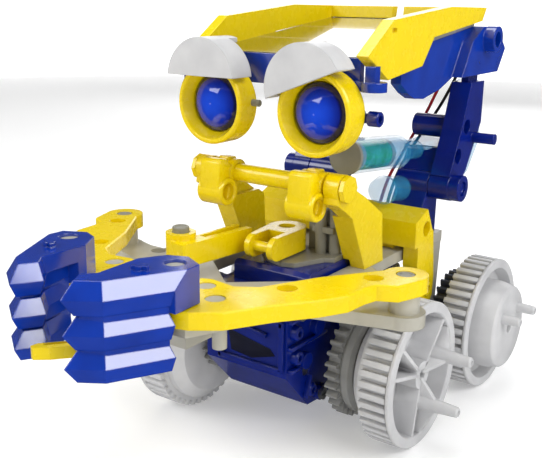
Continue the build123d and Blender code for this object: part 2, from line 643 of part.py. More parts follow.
# Snap pins that hold to the chassis -------------------------------------------
pins = []
for side in (1, -1):
    pins.append(z_rod((side * ARM_PIVOT[0], ARM_PIVOT[1]), PIN_R, PLATE_Z, ARM_TOP - 0.2))
    ends = sorted((side * 27.9, side * (FRAME_X + 0.6)))
    pins.append(x_rod(FRAME_PIN, PIN_R, *ends, bore=1.5))
    ends = sorted((side * BRACKET_X[0], side * (SIDE_OUT + 3.4)))
    pins.append(x_rod(NECK, PIN_R, *ends))
LINK_TOP = 68.0
pins.append(z_rod(LINK_PIVOT, PIN_R, PLATE_Z, LINK_TOP + 1.8))
save(grouped(pins), "snap_pins")

# Chest linkage ---------------------------------------------------------------
BASE_T = 1.6
CRANK_BASE = [(1.6, -10.6), (9.0, -13.0), (13.2, -11.6), (17.6, -1), (20.4, 1), (20.4, 8), (-4, 8)]
CRANK_BASE += [(-6, -3)]
CLEVIS_Z = (58.6, 66.2)
with BuildPart() as linkage_bracket:
    with BuildSketch(Plane.XY.offset(COVER_TOP)):
        Polygon(*CRANK_BASE, align=None)
    extrude(amount=BASE_T)
    with BuildSketch(Plane.XY.offset(COVER_TOP)):
        with Locations(CLEVIS_PIVOT):
            Circle(PIN_R)
    extrude(amount=CLEVIS_Z[1] - COVER_TOP - 1.5)
    with BuildSketch(Plane.XY.offset(COVER_TOP + BASE_T)):
        with Locations((13.2, 3.8), (17.6, 5.6)):
            Circle(1.9)
        with Locations((11.5, 6.9)):
            Rectangle(9, 1.4)
    extrude(amount=14.5)
    with BuildSketch(Plane.XY.offset(65.2)):
        with Locations((14.6, 4.9)):
            Rectangle(8, 5)
    extrude(amount=2.0)
save(linkage_bracket.part, "linkage_bracket")

CLEVIS_MID = sum(CLEVIS_Z) / 2
with BuildPart() as clevis:
    with BuildSketch(Plane.XY.offset(CLEVIS_Z[0])):
        with Locations(CLEVIS_PIVOT):
            Circle(6.4)
        Polygon((-4.1, -0.2), (8.7, -0.2), (8.9, -15), (-1.9, -15), align=None)
    extrude(amount=CLEVIS_Z[1] - CLEVIS_Z[0])
    with BuildSketch(side_plane(-1.9)):
        with Locations((-14.6, CLEVIS_MID)):
            Circle((CLEVIS_Z[1] - CLEVIS_Z[0]) / 2)
    extrude(amount=10.8)
    with BuildSketch(Plane.XY.offset(CLEVIS_Z[0] - 1)):
        Polygon((0.1, -7.5), (6.7, -7.5), (6.9, -20), (0.1, -20), align=None)
    extrude(amount=12, mode=Mode.SUBTRACT)
    with BuildSketch(side_plane(0)):
        with Locations((-14.6, CLEVIS_MID)):
            Circle(1.7)
    extrude(amount=7)
    with BuildSketch(Plane.XY.offset(CLEVIS_Z[0] - 1)):
        with Locations(CLEVIS_PIVOT):
            Circle(BORE_R)
    extrude(amount=12, mode=Mode.SUBTRACT)
save(clevis.part, "clevis")

LINK_Z = (58.8, 66.2)
with BuildPart() as push_link:
    with BuildSketch(Plane.XY.offset(LINK_Z[0])):
        Polygon((-20.5, -32), (-16.8, -37.5), (-9.4, -39.4), (-5.6, -9.2), (-12.6, -8.6), (-14, -28), align=None)
        with Locations(LINK_PIVOT):
            Circle(4.8)
    extrude(amount=LINK_Z[1] - LINK_Z[0])
    with BuildSketch(Plane.XY.offset(LINK_Z[0] + 1.4)):
        Polygon((-12.9, -27), (-10.4, -27.4), (-8.1, -8), (-11.1, -8), align=None)
    extrude(amount=LINK_Z[1] - LINK_Z[0], mode=Mode.SUBTRACT)
    with BuildSketch(Plane.XY.offset(LINK_Z[1])):
        with Locations(LINK_PIVOT):
            Circle(4.8)
    extrude(amount=LINK_TOP - LINK_Z[1])
    with BuildSketch(Plane.XY.offset(LINK_Z[0] - 1)):
        with Locations(LINK_PIVOT):
            Circle(BORE_R)
    extrude(amount=14, mode=Mode.SUBTRACT)
save(push_link.part, "push_link")

# Capsule ---------------------------------------------------------------------
CAPSULE_FROM, CAPSULE_TO = Vector(CAPSULE_X, 8.5, 90.3), Vector(CAPSULE_X, 42.5, 87.2)
CAPSULE_AXIS = (CAPSULE_TO - CAPSULE_FROM).normalized()
CAPSULE_R, CAPSULE_WALL = 5.9, 1.0
capsule_plane = Plane(origin=CAPSULE_FROM, x_dir=(1, 0, 0), z_dir=CAPSULE_AXIS)
CAPSULE_LENGTH = (CAPSULE_TO - CAPSULE_FROM).length
with BuildPart() as capsule_shell:
    with BuildSketch(capsule_plane):
        Circle(CAPSULE_R)
    extrude(amount=CAPSULE_LENGTH)
    with BuildSketch(capsule_plane.offset(CAPSULE_LENGTH)):
        Circle(CAPSULE_R)
    with BuildSketch(capsule_plane.offset(CAPSULE_LENGTH + 6)):
        Circle(3.4)
    loft()
    with BuildSketch(capsule_plane.offset(CAPSULE_LENGTH + 6)):
        Circle(3.4)
    extrude(amount=9)
    with BuildSketch(capsule_plane):
        Circle(CAPSULE_R - CAPSULE_WALL)
    extrude(amount=CAPSULE_LENGTH - 0.5, mode=Mode.SUBTRACT)
save(capsule_shell.part, "capsule_shell")

CELL_R = CAPSULE_R - CAPSULE_WALL
with BuildPart() as battery_cell:
    with BuildSketch(capsule_plane.offset(4.0)):
        Circle(CELL_R)
    extrude(amount=18)
save(battery_cell.part, "battery_cell")
with BuildPart() as cell_cap:
    with BuildSketch(capsule_plane.offset(-1.5)):
        Circle(CAPSULE_R)
    extrude(amount=1.5)
    with BuildSketch(capsule_plane):
        Circle(CELL_R)
    extrude(amount=4)
with BuildPart() as cell_stop:
    with BuildSketch(capsule_plane.offset(22)):
        Circle(CELL_R)
    extrude(amount=2.4)
save(grouped([cell_cap.part, cell_stop.part]), "cell_contacts")

STRAP = [(57.2, 86.1), (64.0, 86.1), (78.1, 84.3), (84, 70), (93, 73), (102.5, 84), (102.5, 100)]
STRAP += [(99, 107.5), (93, 109.5), (87, 105), (84.5, 96), (80.5, 89.2), (78, 88.7), (57.2, 88.9)]
with BuildPart() as capsule_strap:
    with BuildSketch(side_plane(15.0)):
        Polygon(*STRAP[:2], (78.1, 84.3), *STRAP[-3:], align=None)
    extrude(amount=8.8)
    with BuildSketch(side_plane(19.4)):
        Polygon(*STRAP[2:-1], align=None)
    extrude(amount=6.3)
strap_piece = capsule_strap.part - capsule_shell.part - neck_bracket.part
save(strap_piece.solids().sort_by(SortBy.VOLUME)[-1], "capsule_strap")

with BuildPart() as lower_pod:
    with BuildSketch(Plane(origin=(18, 33.5, 74.3), x_dir=(1, 0, 0), z_dir=(0, 1, -0.12))):
        Circle(4.2)
    with BuildSketch(Plane(origin=(18, 37.5, 73.9), x_dir=(1, 0, 0), z_dir=(0, 1, -0.12))):
        Circle(5.2)
    loft()
    with BuildSketch(Plane(origin=(18, 37.5, 73.9), x_dir=(1, 0, 0), z_dir=(0, 1, -0.12))):
        Circle(4.6)
    extrude(amount=12)
save(lower_pod.part, "lower_pod")

# Head ------------------------------------------------------------------------
PANEL_FRONT, PANEL_REAR = (-1.0, 122.6), (79.3, 132.5)
PANEL_T = 2.4
ROOF_IN, ROOF_OUT = 30.0, 34.0
PANEL = [PANEL_FRONT, PANEL_REAR, (PANEL_REAR[0], PANEL_REAR[1] - PANEL_T)]
PANEL += [(PANEL_FRONT[0], PANEL_FRONT[1] - PANEL_T)]
save(side_slab(PANEL, -ROOF_IN, ROOF_IN), "solar_panel")

CHEEK = [(22.9, 113.0), (28.2, 109.6), (33.4, 107.4), (39.9, 106.8), (52.5, 109), (63, 112.6), (74, 116)]
CHEEK += [(79.3, 128), (79.3, 130.0), (22.9, 123.05)]
SIDE_BLOCK = [(62, 112.6), (95.6, 112.8), (101.9, 121.3), (93, 129.4), (79.4, 130.0), (70, 125)]
HEAD_BOSS = (83.5, 125.4)
with BuildPart() as head_side:
    with BuildSketch(side_plane(SIDE_IN)):
        Polygon(*CHEEK, align=None)
    extrude(amount=ROOF_IN - SIDE_IN)
    with BuildSketch(side_plane(SIDE_IN)):
        Polygon(*SIDE_BLOCK, align=None)
    extrude(amount=SIDE_OUT - SIDE_IN)
    with BuildSketch(side_plane(SIDE_OUT)):
        with Locations(HEAD_BOSS):
            Circle(4.7)
    extrude(amount=4)
    with BuildSketch(side_plane(32.6)):
        with Locations(HEAD_BOSS):
            Circle(HOLE_R)
    extrude(amount=6, mode=Mode.SUBTRACT)
    with BuildSketch(side_plane(TONGUE_X[0] - CLEAR)):
        Polygon((73.6, 119), (83.4, 119), (89, 110), (68, 110), align=None)
        with Locations(HEAD):
            Circle(3.9 + CLEAR)
    extrude(amount=TONGUE_X[1] - TONGUE_X[0] + 2 * CLEAR, mode=Mode.SUBTRACT)
    with BuildSketch(side_plane(TONGUE_X[0] - 1)):
        with Locations(HEAD):
            Circle(HEAD_PIN_R)
    extrude(amount=TONGUE_X[1] - TONGUE_X[0] + 2)
save(head_side.part, "head_side_left")
save(mirrored(head_side.part), "head_side_right")

ROOF = [(-6.4, 123.3), (6.8, 115.7), (29.6, 118.6), (37.4, 127.5), (77, 132), (80.3, 136.7), (50, 137.1)]
ROOF += [(8.8, 133.4)]
RAIL_GAP = 2.3
with BuildPart() as roof:
    with BuildSketch(side_plane(ROOF_IN)):
        Polygon(*ROOF, align=None)
    extrude(amount=ROOF_OUT - ROOF_IN)
    with BuildSketch(side_plane(ROOF_OUT - 1.2)):
        with Locations((9.4, 130.4)):
            Rectangle(3.0, 1.2)
    extrude(amount=2, mode=Mode.SUBTRACT)
    with BuildSketch(side_plane(RAIL_GAP)):
        Polygon((75.8, 132.2), (79.3, 132.6), (80.3, 136.7), (76.4, 136.7), align=None)
    extrude(amount=ROOF_IN - RAIL_GAP)
save(roof.part, "roof_left")
save(mirrored(roof.part), "roof_right")

ARM_SLOT = (-4.9, -3.7)           # the lids' arms turn here, behind the eyes, as y values
BROW_Y = (ARM_SLOT[1] + CLEAR, PANEL_FRONT[0])
BROW_Z = (113.0, 122.5)
TAB_LOW = 99.5
LID_PIN_R = 1.5
with BuildPart() as brow_beam:
    with BuildSketch(Plane.XY.offset(BROW_Z[0])):
        with Locations((0, sum(BROW_Y) / 2)):
            Rectangle(2 * ROOF_IN - 0.2, BROW_Y[1] - BROW_Y[0])
        with Locations((34.5, -3), (-34.5, -3)):
            Circle(3.9)
        with Locations((0, -2.6)):
            Rectangle(69, 1.6)
        with Locations((31.5, -3), (-31.5, -3)):
            Rectangle(6, 3.7)
    extrude(amount=2.8)
    with BuildSketch(Plane.XY.offset(BROW_Z[0] + 2.8)):
        with Locations((0, sum(BROW_Y) / 2)):
            Rectangle(2 * ROOF_IN - 0.2, BROW_Y[1] - BROW_Y[0])
    extrude(amount=BROW_Z[1] - BROW_Z[0] - 2.8)
    with BuildSketch(Plane.XY.offset(BROW_Z[0] + 2.8)):
        with Locations((34.0, -3.2), (-34.0, -3.2)):
            Rectangle(3.4, 3.0)
    extrude(amount=4.6)
    with BuildSketch(front_plane(BROW_Y[1])):
        for side in (1, -1):
            with Locations((side * EYE_X, (TAB_LOW + BROW_Z[0]) / 2)):
                Rectangle(10, BROW_Z[0] - TAB_LOW)
    extrude(amount=BROW_Y[1] - BROW_Y[0])
    with BuildSketch(front_plane(BROW_Y[0])):
        with Locations((EYE_X, LID_PIN_Z), (-EYE_X, LID_PIN_Z)):
            Circle(LID_PIN_R)
    extrude(amount=BROW_Y[0] - ARM_SLOT[0])
save(brow_beam.part, "brow_beam")

RING = [(EYE_R - 0.5, EYE_FRONT), (EYE_R, EYE_FRONT + 0.6), (EYE_R, EYE_BACK), (0, EYE_BACK)]
RING += [(0, EYE_BACK - 1.6), (9.6, EYE_BACK - 1.6), (9.6, -9.6), (11.4, EYE_FRONT + 0.3)]
RING += [(11.8, EYE_FRONT)]
LENS_R, LENS_FRONT, LENS_EDGE = 9.2, -13.0, -9.4
STUB_Z, STUB_R = 103.0, 2.5
DOME_R = (LENS_R**2 + (LENS_EDGE - LENS_FRONT)**2) / (2 * (LENS_EDGE - LENS_FRONT))
rings, lenses = [], []
for centre_x in (EYE_X, -EYE_X):
    half = Plane(origin=(centre_x, 0, EYE_Z), x_dir=(1, 0, 0), z_dir=(0, 0, 1))
    spin = Axis((centre_x, 0, EYE_Z), (0, 1, 0))
    with BuildPart() as eye_ring:
        with BuildSketch(half):
            Polygon(*RING, align=None)
        revolve(axis=spin)
        with BuildSketch(front_plane(BROW_Y[0])):
            with Locations((centre_x, STUB_Z)):
                Circle(STUB_R)
        extrude(amount=BROW_Y[0] - EYE_BACK)
    rings.append(eye_ring.part)
    with BuildPart() as eye_lens:
        with BuildSketch(half):
            with BuildLine():
                Polyline((0, LENS_FRONT), (0, EYE_BACK - 1.6), (LENS_R, EYE_BACK - 1.6), (LENS_R, LENS_EDGE))
                RadiusArc((LENS_R, LENS_EDGE), (0, LENS_FRONT), DOME_R)
            make_face()
        revolve(axis=spin)
    lenses.append(eye_lens.part)
save(grouped(rings), "eye_rings")
save(grouped(lenses), "eye_lenses")

LID_FRONT, LID_WALL = -18.2, 1.4
LID_DEEP = -8.4
LID_BASE = 1.3                    # the cut across the lid is this much above its centre
ARM_HALF = 4.0


def eyelid():
    """The half-moon hood of the left eye, level, on the arm that turns behind the eye."""
    with BuildPart() as lid:
        with BuildSketch(front_plane(LID_FRONT + LID_WALL)):
            with Locations((EYE_X, LID_Z)):
                Circle(LID_R)
            with Locations((EYE_X, LID_Z + LID_BASE - 20)):
                Rectangle(60, 40, mode=Mode.SUBTRACT)
        extrude(amount=LID_WALL)
        with BuildSketch(front_plane(LID_DEEP)):
            with Locations((EYE_X, LID_Z)):
                Circle(LID_R)
                Circle(LID_R - LID_WALL, mode=Mode.SUBTRACT)
            with Locations((EYE_X, LID_Z + LID_BASE - 20)):
                Rectangle(60, 40, mode=Mode.SUBTRACT)
        extrude(amount=LID_DEEP - LID_FRONT - LID_WALL)
        with BuildSketch(front_plane(ARM_SLOT[1])):
            with Locations((EYE_X, LID_Z)):
                Circle(LID_R)
                Circle(LID_R - LID_WALL, mode=Mode.SUBTRACT)
            with Locations((EYE_X, LID_Z + LID_R)):
                Rectangle(2 * ARM_HALF, LID_R, mode=Mode.INTERSECT)
        extrude(amount=ARM_SLOT[1] - LID_DEEP)
        with BuildSketch(front_plane(ARM_SLOT[1])):
            with Locations((EYE_X, (LID_PIN_Z + LID_Z + LID_R - 0.5) / 2)):
                Rectangle(5.6, LID_Z + LID_R - 0.5 - LID_PIN_Z)
            with Locations((EYE_X, LID_PIN_Z)):
                Circle(3.2)
                Circle(LID_PIN_R + RUN_FIT, mode=Mode.SUBTRACT)
        extrude(amount=ARM_SLOT[1] - ARM_SLOT[0])
    return lid.part


level_lid = eyelid()
tilted = level_lid.rotate(Axis((EYE_X, 0, LID_PIN_Z), (0, -1, 0)), LEFT_LID_TILT)
save(tilted, "eyelid_left")
save(mirrored(level_lid), "eyelid_right")

# Wires -----------------------------------------------------------------------
WIRE_R = 0.6
BLACK_ROUTE = [(25.6, 81.5, 116.6), (21.5, 83.2, 108.5), (17.6, 82.9, 100.5), (13.8, 80.8, 93)]
BLACK_ROUTE += [(11.2, 75.8, 86.4), (11.3, 68.4, 81.6), (11.2, 61.8, 76.8), (11.5, 56.2, 71)]
BLACK_ROUTE += [(11.3, 52.3, 63.6), (11.2, 51.2, PLATE_TOP + 0.2)]
RED_ROUTE = [(25.6, 76.5, 117.2), (21.8, 73.0, 110.6), (18.2, 74.0, 103.8), (14.2, 77.2, 97.6)]
RED_ROUTE += [(10.2, 77.4, 90.8), (8.6, 73.4, 84.9), (8.8, 66.6, 80), (8.6, 60, 75.4), (8.9, 54.4, 69.4)]
RED_ROUTE += [(8.8, 50.6, 62), (9, 49.6, PLATE_TOP + 0.2)]


def wire(route, label):
    """A round wire along straight runs joined by arcs as large as the runs allow."""
    runs = [Vector(*b) - Vector(*a) for a, b in zip(route, route[1:])]
    radii = []
    for before, after in zip(runs, runs[1:]):
        turn = radians(before.get_angle(after))
        radii.append(0.45 * min(before.length, after.length) / tan(turn / 2))
    print(label, "radii", [round(radius, 1) for radius in radii])
    with BuildPart() as tube:
        with BuildLine() as path:
            FilletPolyline(*route, radius=radii)
        with BuildSketch(Plane(origin=route[0], z_dir=runs[0])):
            Circle(WIRE_R)
        sweep(path=path.line)
    print(label, "volume", tube.part.volume, "section times length", pi * WIRE_R**2 * path.wires()[0].length)
    save(tube.part, label)


wire(BLACK_ROUTE, "black_wire")
wire(RED_ROUTE, "red_wire")
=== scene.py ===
"""A solar robot kit on a pale floor: snap-together plastic parts, dressed and detailed."""

import json
import logging
import math
from collections.abc import Sequence
from dataclasses import dataclass, field
from enum import Enum

import bmesh
import bpy
from mathutils import Matrix, Vector

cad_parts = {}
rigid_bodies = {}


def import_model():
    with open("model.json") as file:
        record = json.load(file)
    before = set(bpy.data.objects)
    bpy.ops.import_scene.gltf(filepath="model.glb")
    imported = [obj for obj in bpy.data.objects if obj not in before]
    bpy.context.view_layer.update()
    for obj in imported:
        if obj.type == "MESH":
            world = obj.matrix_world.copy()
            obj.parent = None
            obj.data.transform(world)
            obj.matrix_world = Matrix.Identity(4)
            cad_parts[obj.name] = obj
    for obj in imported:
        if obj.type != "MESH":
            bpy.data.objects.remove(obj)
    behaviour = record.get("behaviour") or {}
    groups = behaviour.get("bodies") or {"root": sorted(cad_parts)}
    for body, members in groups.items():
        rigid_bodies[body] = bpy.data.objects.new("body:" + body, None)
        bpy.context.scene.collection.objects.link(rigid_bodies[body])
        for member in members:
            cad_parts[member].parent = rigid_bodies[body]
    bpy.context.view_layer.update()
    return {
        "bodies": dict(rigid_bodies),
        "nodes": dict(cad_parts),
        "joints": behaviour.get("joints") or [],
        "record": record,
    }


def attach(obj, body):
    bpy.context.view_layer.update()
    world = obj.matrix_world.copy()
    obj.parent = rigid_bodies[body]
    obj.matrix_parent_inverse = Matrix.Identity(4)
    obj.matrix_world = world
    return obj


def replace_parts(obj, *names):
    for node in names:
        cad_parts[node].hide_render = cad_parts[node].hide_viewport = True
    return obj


LOG = logging.getLogger("solar_robot")
MM = 0.001
Point = tuple[float, float, float]


class Slot(Enum):
    """The record's material slots."""

    YELLOW = "yellow_plastic"
    BLUE = "blue_plastic"
    WHITE = "white_plastic"
    GREY = "grey_plastic"
    GEAR = "gear_plastic"
    REAR_GEAR = "rear_gear_plastic"
    CYAN = "clear_cyan_plastic"
    LENS = "lens_blue"
    SOLAR = "solar_glass"
    CELL = "cell_green"
    STEEL = "steel"
    RED_WIRE = "red_insulation"
    BLACK_WIRE = "black_insulation"
    # Painted shade: a darker copy of the blue plastic, for blue parts that sit in shadow.
    PAINTED_SHADE_BLUE = "blue_plastic/deep"
    PIN = "grey_plastic/pin"
    # Painted shade: a near-black finish for a sheet that stands in for the dark inside of an opening.
    SHADOW = "rear_gear_plastic/recess"

    @property
    def record_name(self) -> str:
        """The record's name for this finish, without its shade."""
        return self.value.split("/")[0]


# Colour and node helpers ------------------------------------------------------


def linear(code: str) -> tuple[float, float, float, float]:
    """Turn an sRGB hex colour to linear RGBA.

    Args:
        code: Six hex digits, with or without a leading hash.

    Returns:
        Linear red, green, blue and an alpha of 1.
    """
    digits = code.lstrip("#")
    parts = [int(digits[i : i + 2], 16) / 255 for i in (0, 2, 4)]
    turned = [c / 12.92 if c <= 0.04045 else ((c + 0.055) / 1.055) ** 2.4 for c in parts]
    return (*turned, 1.0)


def add(
    tree: bpy.types.NodeTree,
    kind: str,
    values: dict[str | int, object] | None = None,
    links: dict[str | int, bpy.types.NodeSocket] | None = None,
    **settings: object,
) -> bpy.types.Node:
    """Add one shader node with its settings, socket values and links.

    Args:
        tree: The node tree that gets the node.
        kind: The node's type name, without the ShaderNode prefix.
        values: Constants by input name or number.
        links: Sockets to join to inputs, by input name or number.
        **settings: Attributes of the node itself.

    Returns:
        The new node.
    """
    node = tree.nodes.new("ShaderNode" + kind)
    for name, setting in settings.items():
        setattr(node, name, setting)
    for key, value in (values or {}).items():
        node.inputs[key].default_value = value
    for key, socket in (links or {}).items():
        tree.links.new(socket, node.inputs[key])
    return node


def ramp(node: bpy.types.Node, stops: Sequence[tuple[float, tuple[float, ...]]]) -> bpy.types.Node:
    """Set a colour ramp's stops.

    Args:
        node: A ValToRGB node.
        stops: Pairs of position and linear RGBA, in order.

    Returns:
        The same node.
    """
    elements = node.color_ramp.elements
    while len(elements) < len(stops):
        elements.new(1.0)
    for element, (position, colour) in zip(elements, stops):
        element.position = position
        element.color = colour
    return node


# Finishes -----------------------------------------------------------------------


@dataclass(frozen=True)
class MouldedPlastic:
    """Injection-moulded plastic: a glossy skin with a faint orange-peel and soft corners.

    Attributes:
        slot: The record's slot that it stands for.
        body: sRGB hex of the plastic.
        shade: sRGB hex of its slightly deeper patches, where flow lines gather pigment.
        roughness: Mean roughness of the skin.
        coat: Weight of the glossy outer skin.
        ior: Index of refraction, set above the plastic's usual 1.5 where lit slopes have to shine white.
        peel_mm: Size of the orange-peel ripples.
        corner_mm: Radius that the mould leaves on the corners.
        glow: Share of light that passes into the plastic.
    """

    slot: Slot
    body: str
    shade: str
    roughness: float = 0.3
    coat: float = 0.35
    ior: float = 1.5
    peel_mm: float = 1.6
    corner_mm: float = 0.45
    glow: float = 0.0

    def build(self) -> bpy.types.Material:
        """Make the material and return it."""
        material = bpy.data.materials.new("moulded_" + self.slot.name.lower())
        material.use_nodes = True
        tree = material.node_tree
        tree.nodes.clear()
        place = add(tree, "TexCoord").outputs["Object"]
        # Broad, faint flow marks in the pigment, about 9 mm across.
        flow = add(tree, "TexNoise", {"Scale": 1 / (9 * MM), "Detail": 3.0}, {"Vector": place})
        colour = ramp(
            add(tree, "ValToRGB", links={"Fac": flow.outputs["Fac"]}),
            [(0.25, linear(self.shade)), (0.75, linear(self.body))],
        )
        # The skin's gloss changes a little over a few millimetres, as handled toys show.
        rub = add(tree, "TexNoise", {"Scale": 1 / (3.5 * MM), "Detail": 4.0}, {"Vector": place})
        gloss = add(
            tree,
            "MapRange",
            {"To Min": self.roughness - 0.06, "To Max": self.roughness + 0.08},
            {"Value": rub.outputs["Fac"]},
        )
        # Orange peel from the mould, drawn a little coarse so that it shows.
        peel = add(tree, "TexNoise", {"Scale": 1 / (self.peel_mm * MM), "Detail": 0.0}, {"Vector": place})
        corner = add(tree, "Bevel", {"Radius": self.corner_mm * MM}, samples=6)
        bump = add(
            tree,
            "Bump",
            {"Strength": 0.06, "Distance": 0.03 * MM},
            {"Height": peel.outputs["Fac"], "Normal": corner.outputs["Normal"]},
        )
        values = {
            "IOR": self.ior,
            "Coat Weight": self.coat,
            "Coat Roughness": 0.08,
            "Subsurface Weight": self.glow,
            "Subsurface Scale": 2 * MM,
        }
        shader = add(
            tree,
            "BsdfPrincipled",
            values,
            {
                "Base Color": colour.outputs["Color"], "Roughness": gloss.outputs["Result"],
                "Normal": bump.outputs["Normal"]
            },
        )
        add(tree, "OutputMaterial", links={"Surface": shader.outputs["BSDF"]})
        return material


@dataclass(frozen=True)
class TintedPlastic:
    """Clear tinted polystyrene: light passes, the tint goes deeper in random ripples, and the skin is
    bright.

    Attributes:
        slot: The record's slot.
        tint: sRGB hex of the plastic seen through.
        alpha: How much of what is behind it hides.
        roughness: Roughness of the skin.
    """

    slot: Slot
    tint: str
    alpha: float
    roughness: float = 0.08

    def build(self) -> bpy.types.Material:
        """Make the material and return it."""
        material = bpy.data.materials.new("tinted_" + self.slot.value)
        material.use_nodes = True
        tree = material.node_tree
        tree.nodes.clear()
        place = add(tree, "TexCoord").outputs["Object"]
        ripple = add(tree, "TexNoise", {"Scale": 1 / (4 * MM), "Detail": 2.0}, {"Vector": place})
        deep = tuple(channel * 0.55 for channel in linear(self.tint)[:3]) + (1.0,)
        colour = ramp(
            add(tree, "ValToRGB", links={"Fac": ripple.outputs["Fac"]}),
            [(0.35, deep), (0.65, linear(self.tint))],
        )
        bump = add(tree, "Bump", {"Strength": 0.2, "Distance": 0.1 * MM}, {"Height": ripple.outputs["Fac"]})
        shader = add(
            tree,
            "BsdfPrincipled",
            {
                "Roughness": self.roughness, "IOR": 1.5, "Alpha": self.alpha, "Coat Weight": 0.5,
                "Coat Roughness": 0.03
            },
            {"Base Color": colour.outputs["Color"], "Normal": bump.outputs["Normal"]},
        )
        add(tree, "OutputMaterial", links={"Surface": shader.outputs["BSDF"]})
        return material


@dataclass(frozen=True)
class SolarGlass:
    """A glazed cell sheet: dark olive cells under clear resin, crossed by pale conductor lines.

    Attributes:
        slot: The record's slot.
        cell_mm: Width of one cell, front to back.
        line_mm: Width of a conductor line.
    """

    slot: Slot = Slot.SOLAR
    cell_mm: float = 13.0
    line_mm: float = 0.7

    def build(self) -> bpy.types.Material:
        """Make the material and return it."""
        material = bpy.data.materials.new("glazed_" + self.slot.value)
        material.use_nodes = True
        tree = material.node_tree
        tree.nodes.clear()
        place = add(tree, "TexCoord").outputs["Object"]
        axes = add(tree, "SeparateXYZ", links={"Vector": place})
        along = add(tree, "Math", {1: self.cell_mm * MM}, {0: axes.outputs["Y"]}, operation="PINGPONG")
        line = add(tree, "Math", {1: self.line_mm * MM}, {0: along.outputs["Value"]}, operation="LESS_THAN")
        across = add(tree, "Math", {1: 15 * MM}, {0: axes.outputs["X"]}, operation="PINGPONG")
        bar = add(tree, "Math", {1: 0.4 * MM}, {0: across.outputs["Value"]}, operation="LESS_THAN")
        either = add(
            tree, "Math", links={0: line.outputs["Value"], 1: bar.outputs["Value"]}, operation="MAXIMUM"
        )
        grain = add(tree, "TexNoise", {"Scale": 1 / (2.5 * MM), "Detail": 6.0}, {"Vector": place})
        cell = ramp(
            add(tree, "ValToRGB", links={"Fac": grain.outputs["Fac"]}),
            [(0.35, linear("#17190F")), (0.7, linear("#3A3D22"))],
        )
        colour = add(
            tree,
            "Mix",
            {"B": linear("#8F9096")},
            {"Factor": either.outputs["Value"], "A": cell.outputs["Color"]},
            data_type="RGBA",
        )
        shader = add(
            tree,
            "BsdfPrincipled",
            {
                "Roughness": 0.16, "IOR": 1.5, "Coat Weight": 1.0, "Coat Roughness": 0.04,
                "Specular IOR Level": 0.8
            },
            {"Base Color": colour.outputs[2]},
        )
        add(tree, "OutputMaterial", links={"Surface": shader.outputs["BSDF"]})
        return material


@dataclass(frozen=True)
class LensGlass:
    """A polished blue dome with painted light and shade: lighter in the middle, as light through the dome,
    and darker at the rim, as shade.

    Attributes:
        slot: The record's slot.
        centres: The lenses' centres, in millimetres.
        radius_mm: Radius of a lens.
    """

    slot: Slot = Slot.LENS
    centres: tuple[Point, ...] = ((20.0, -9.0, 106.2), (-20.0, -9.0, 106.2))
    radius_mm: float = 8.2

    def build(self) -> bpy.types.Material:
        """Make the material and return it."""
        material = bpy.data.materials.new("polished_" + self.slot.value)
        material.use_nodes = True
        tree = material.node_tree
        tree.nodes.clear()
        place = add(tree, "TexCoord").outputs["Object"]
        reach = None
        for centre in self.centres:
            spot = add(
                tree,
                "VectorMath",
                {1: tuple(c * MM for c in centre)},
                {0: place},
                operation="DISTANCE",
            ).outputs["Value"]
            if reach is None:
                reach = spot
            else:
                reach = add(tree, "Math", links={0: reach, 1: spot}, operation="MINIMUM").outputs["Value"]
        share = add(tree, "Math", {1: 1 / (self.radius_mm * MM)}, {0: reach}, operation="MULTIPLY")
        # Painted light and shade: lighter blue in the middle, standing in for light through the dome, to
        # near black at the rim, standing in for shade.
        colour = ramp(
            add(tree, "ValToRGB", links={"Fac": share.outputs["Value"]}),
            [
                (0.30, linear("#1C50E0")), (0.72, linear("#1038BC")), (0.94, linear("#0820A0")),
                (1.0, linear("#040A48"))
            ],
        )
        shader = add(
            tree,
            "BsdfPrincipled",
            {"Roughness": 0.05, "IOR": 1.5, "Coat Weight": 0.5, "Coat Roughness": 0.02, "Coat IOR": 1.5},
            {"Base Color": colour.outputs["Color"]},
        )
        add(tree, "OutputMaterial", links={"Surface": shader.outputs["BSDF"]})
        return material


@dataclass(frozen=True)
class PlatedSteel:
    """Bright nickel-plated steel with fine turning marks.

    Attributes:
        slot: The record's slot.
        body: sRGB hex of the metal.
    """

    slot: Slot = Slot.STEEL
    body: str = "#B9BABC"

    def build(self) -> bpy.types.Material:
        """Make the material and return it."""
        material = bpy.data.materials.new("plated_" + self.slot.value)
        material.use_nodes = True
        tree = material.node_tree
        tree.nodes.clear()
        place = add(tree, "TexCoord").outputs["Object"]
        marks = add(tree, "TexNoise", {"Scale": 1 / (0.6 * MM), "Detail": 3.0}, {"Vector": place})
        gloss = add(tree, "MapRange", {"To Min": 0.22, "To Max": 0.42}, {"Value": marks.outputs["Fac"]})
        corner = add(tree, "Bevel", {"Radius": 0.2 * MM}, samples=4)
        shader = add(
            tree,
            "BsdfPrincipled",
            {"Base Color": linear(self.body), "Metallic": 1.0},
            {"Roughness": gloss.outputs["Result"], "Normal": corner.outputs["Normal"]},
        )
        add(tree, "OutputMaterial", links={"Surface": shader.outputs["BSDF"]})
        return material


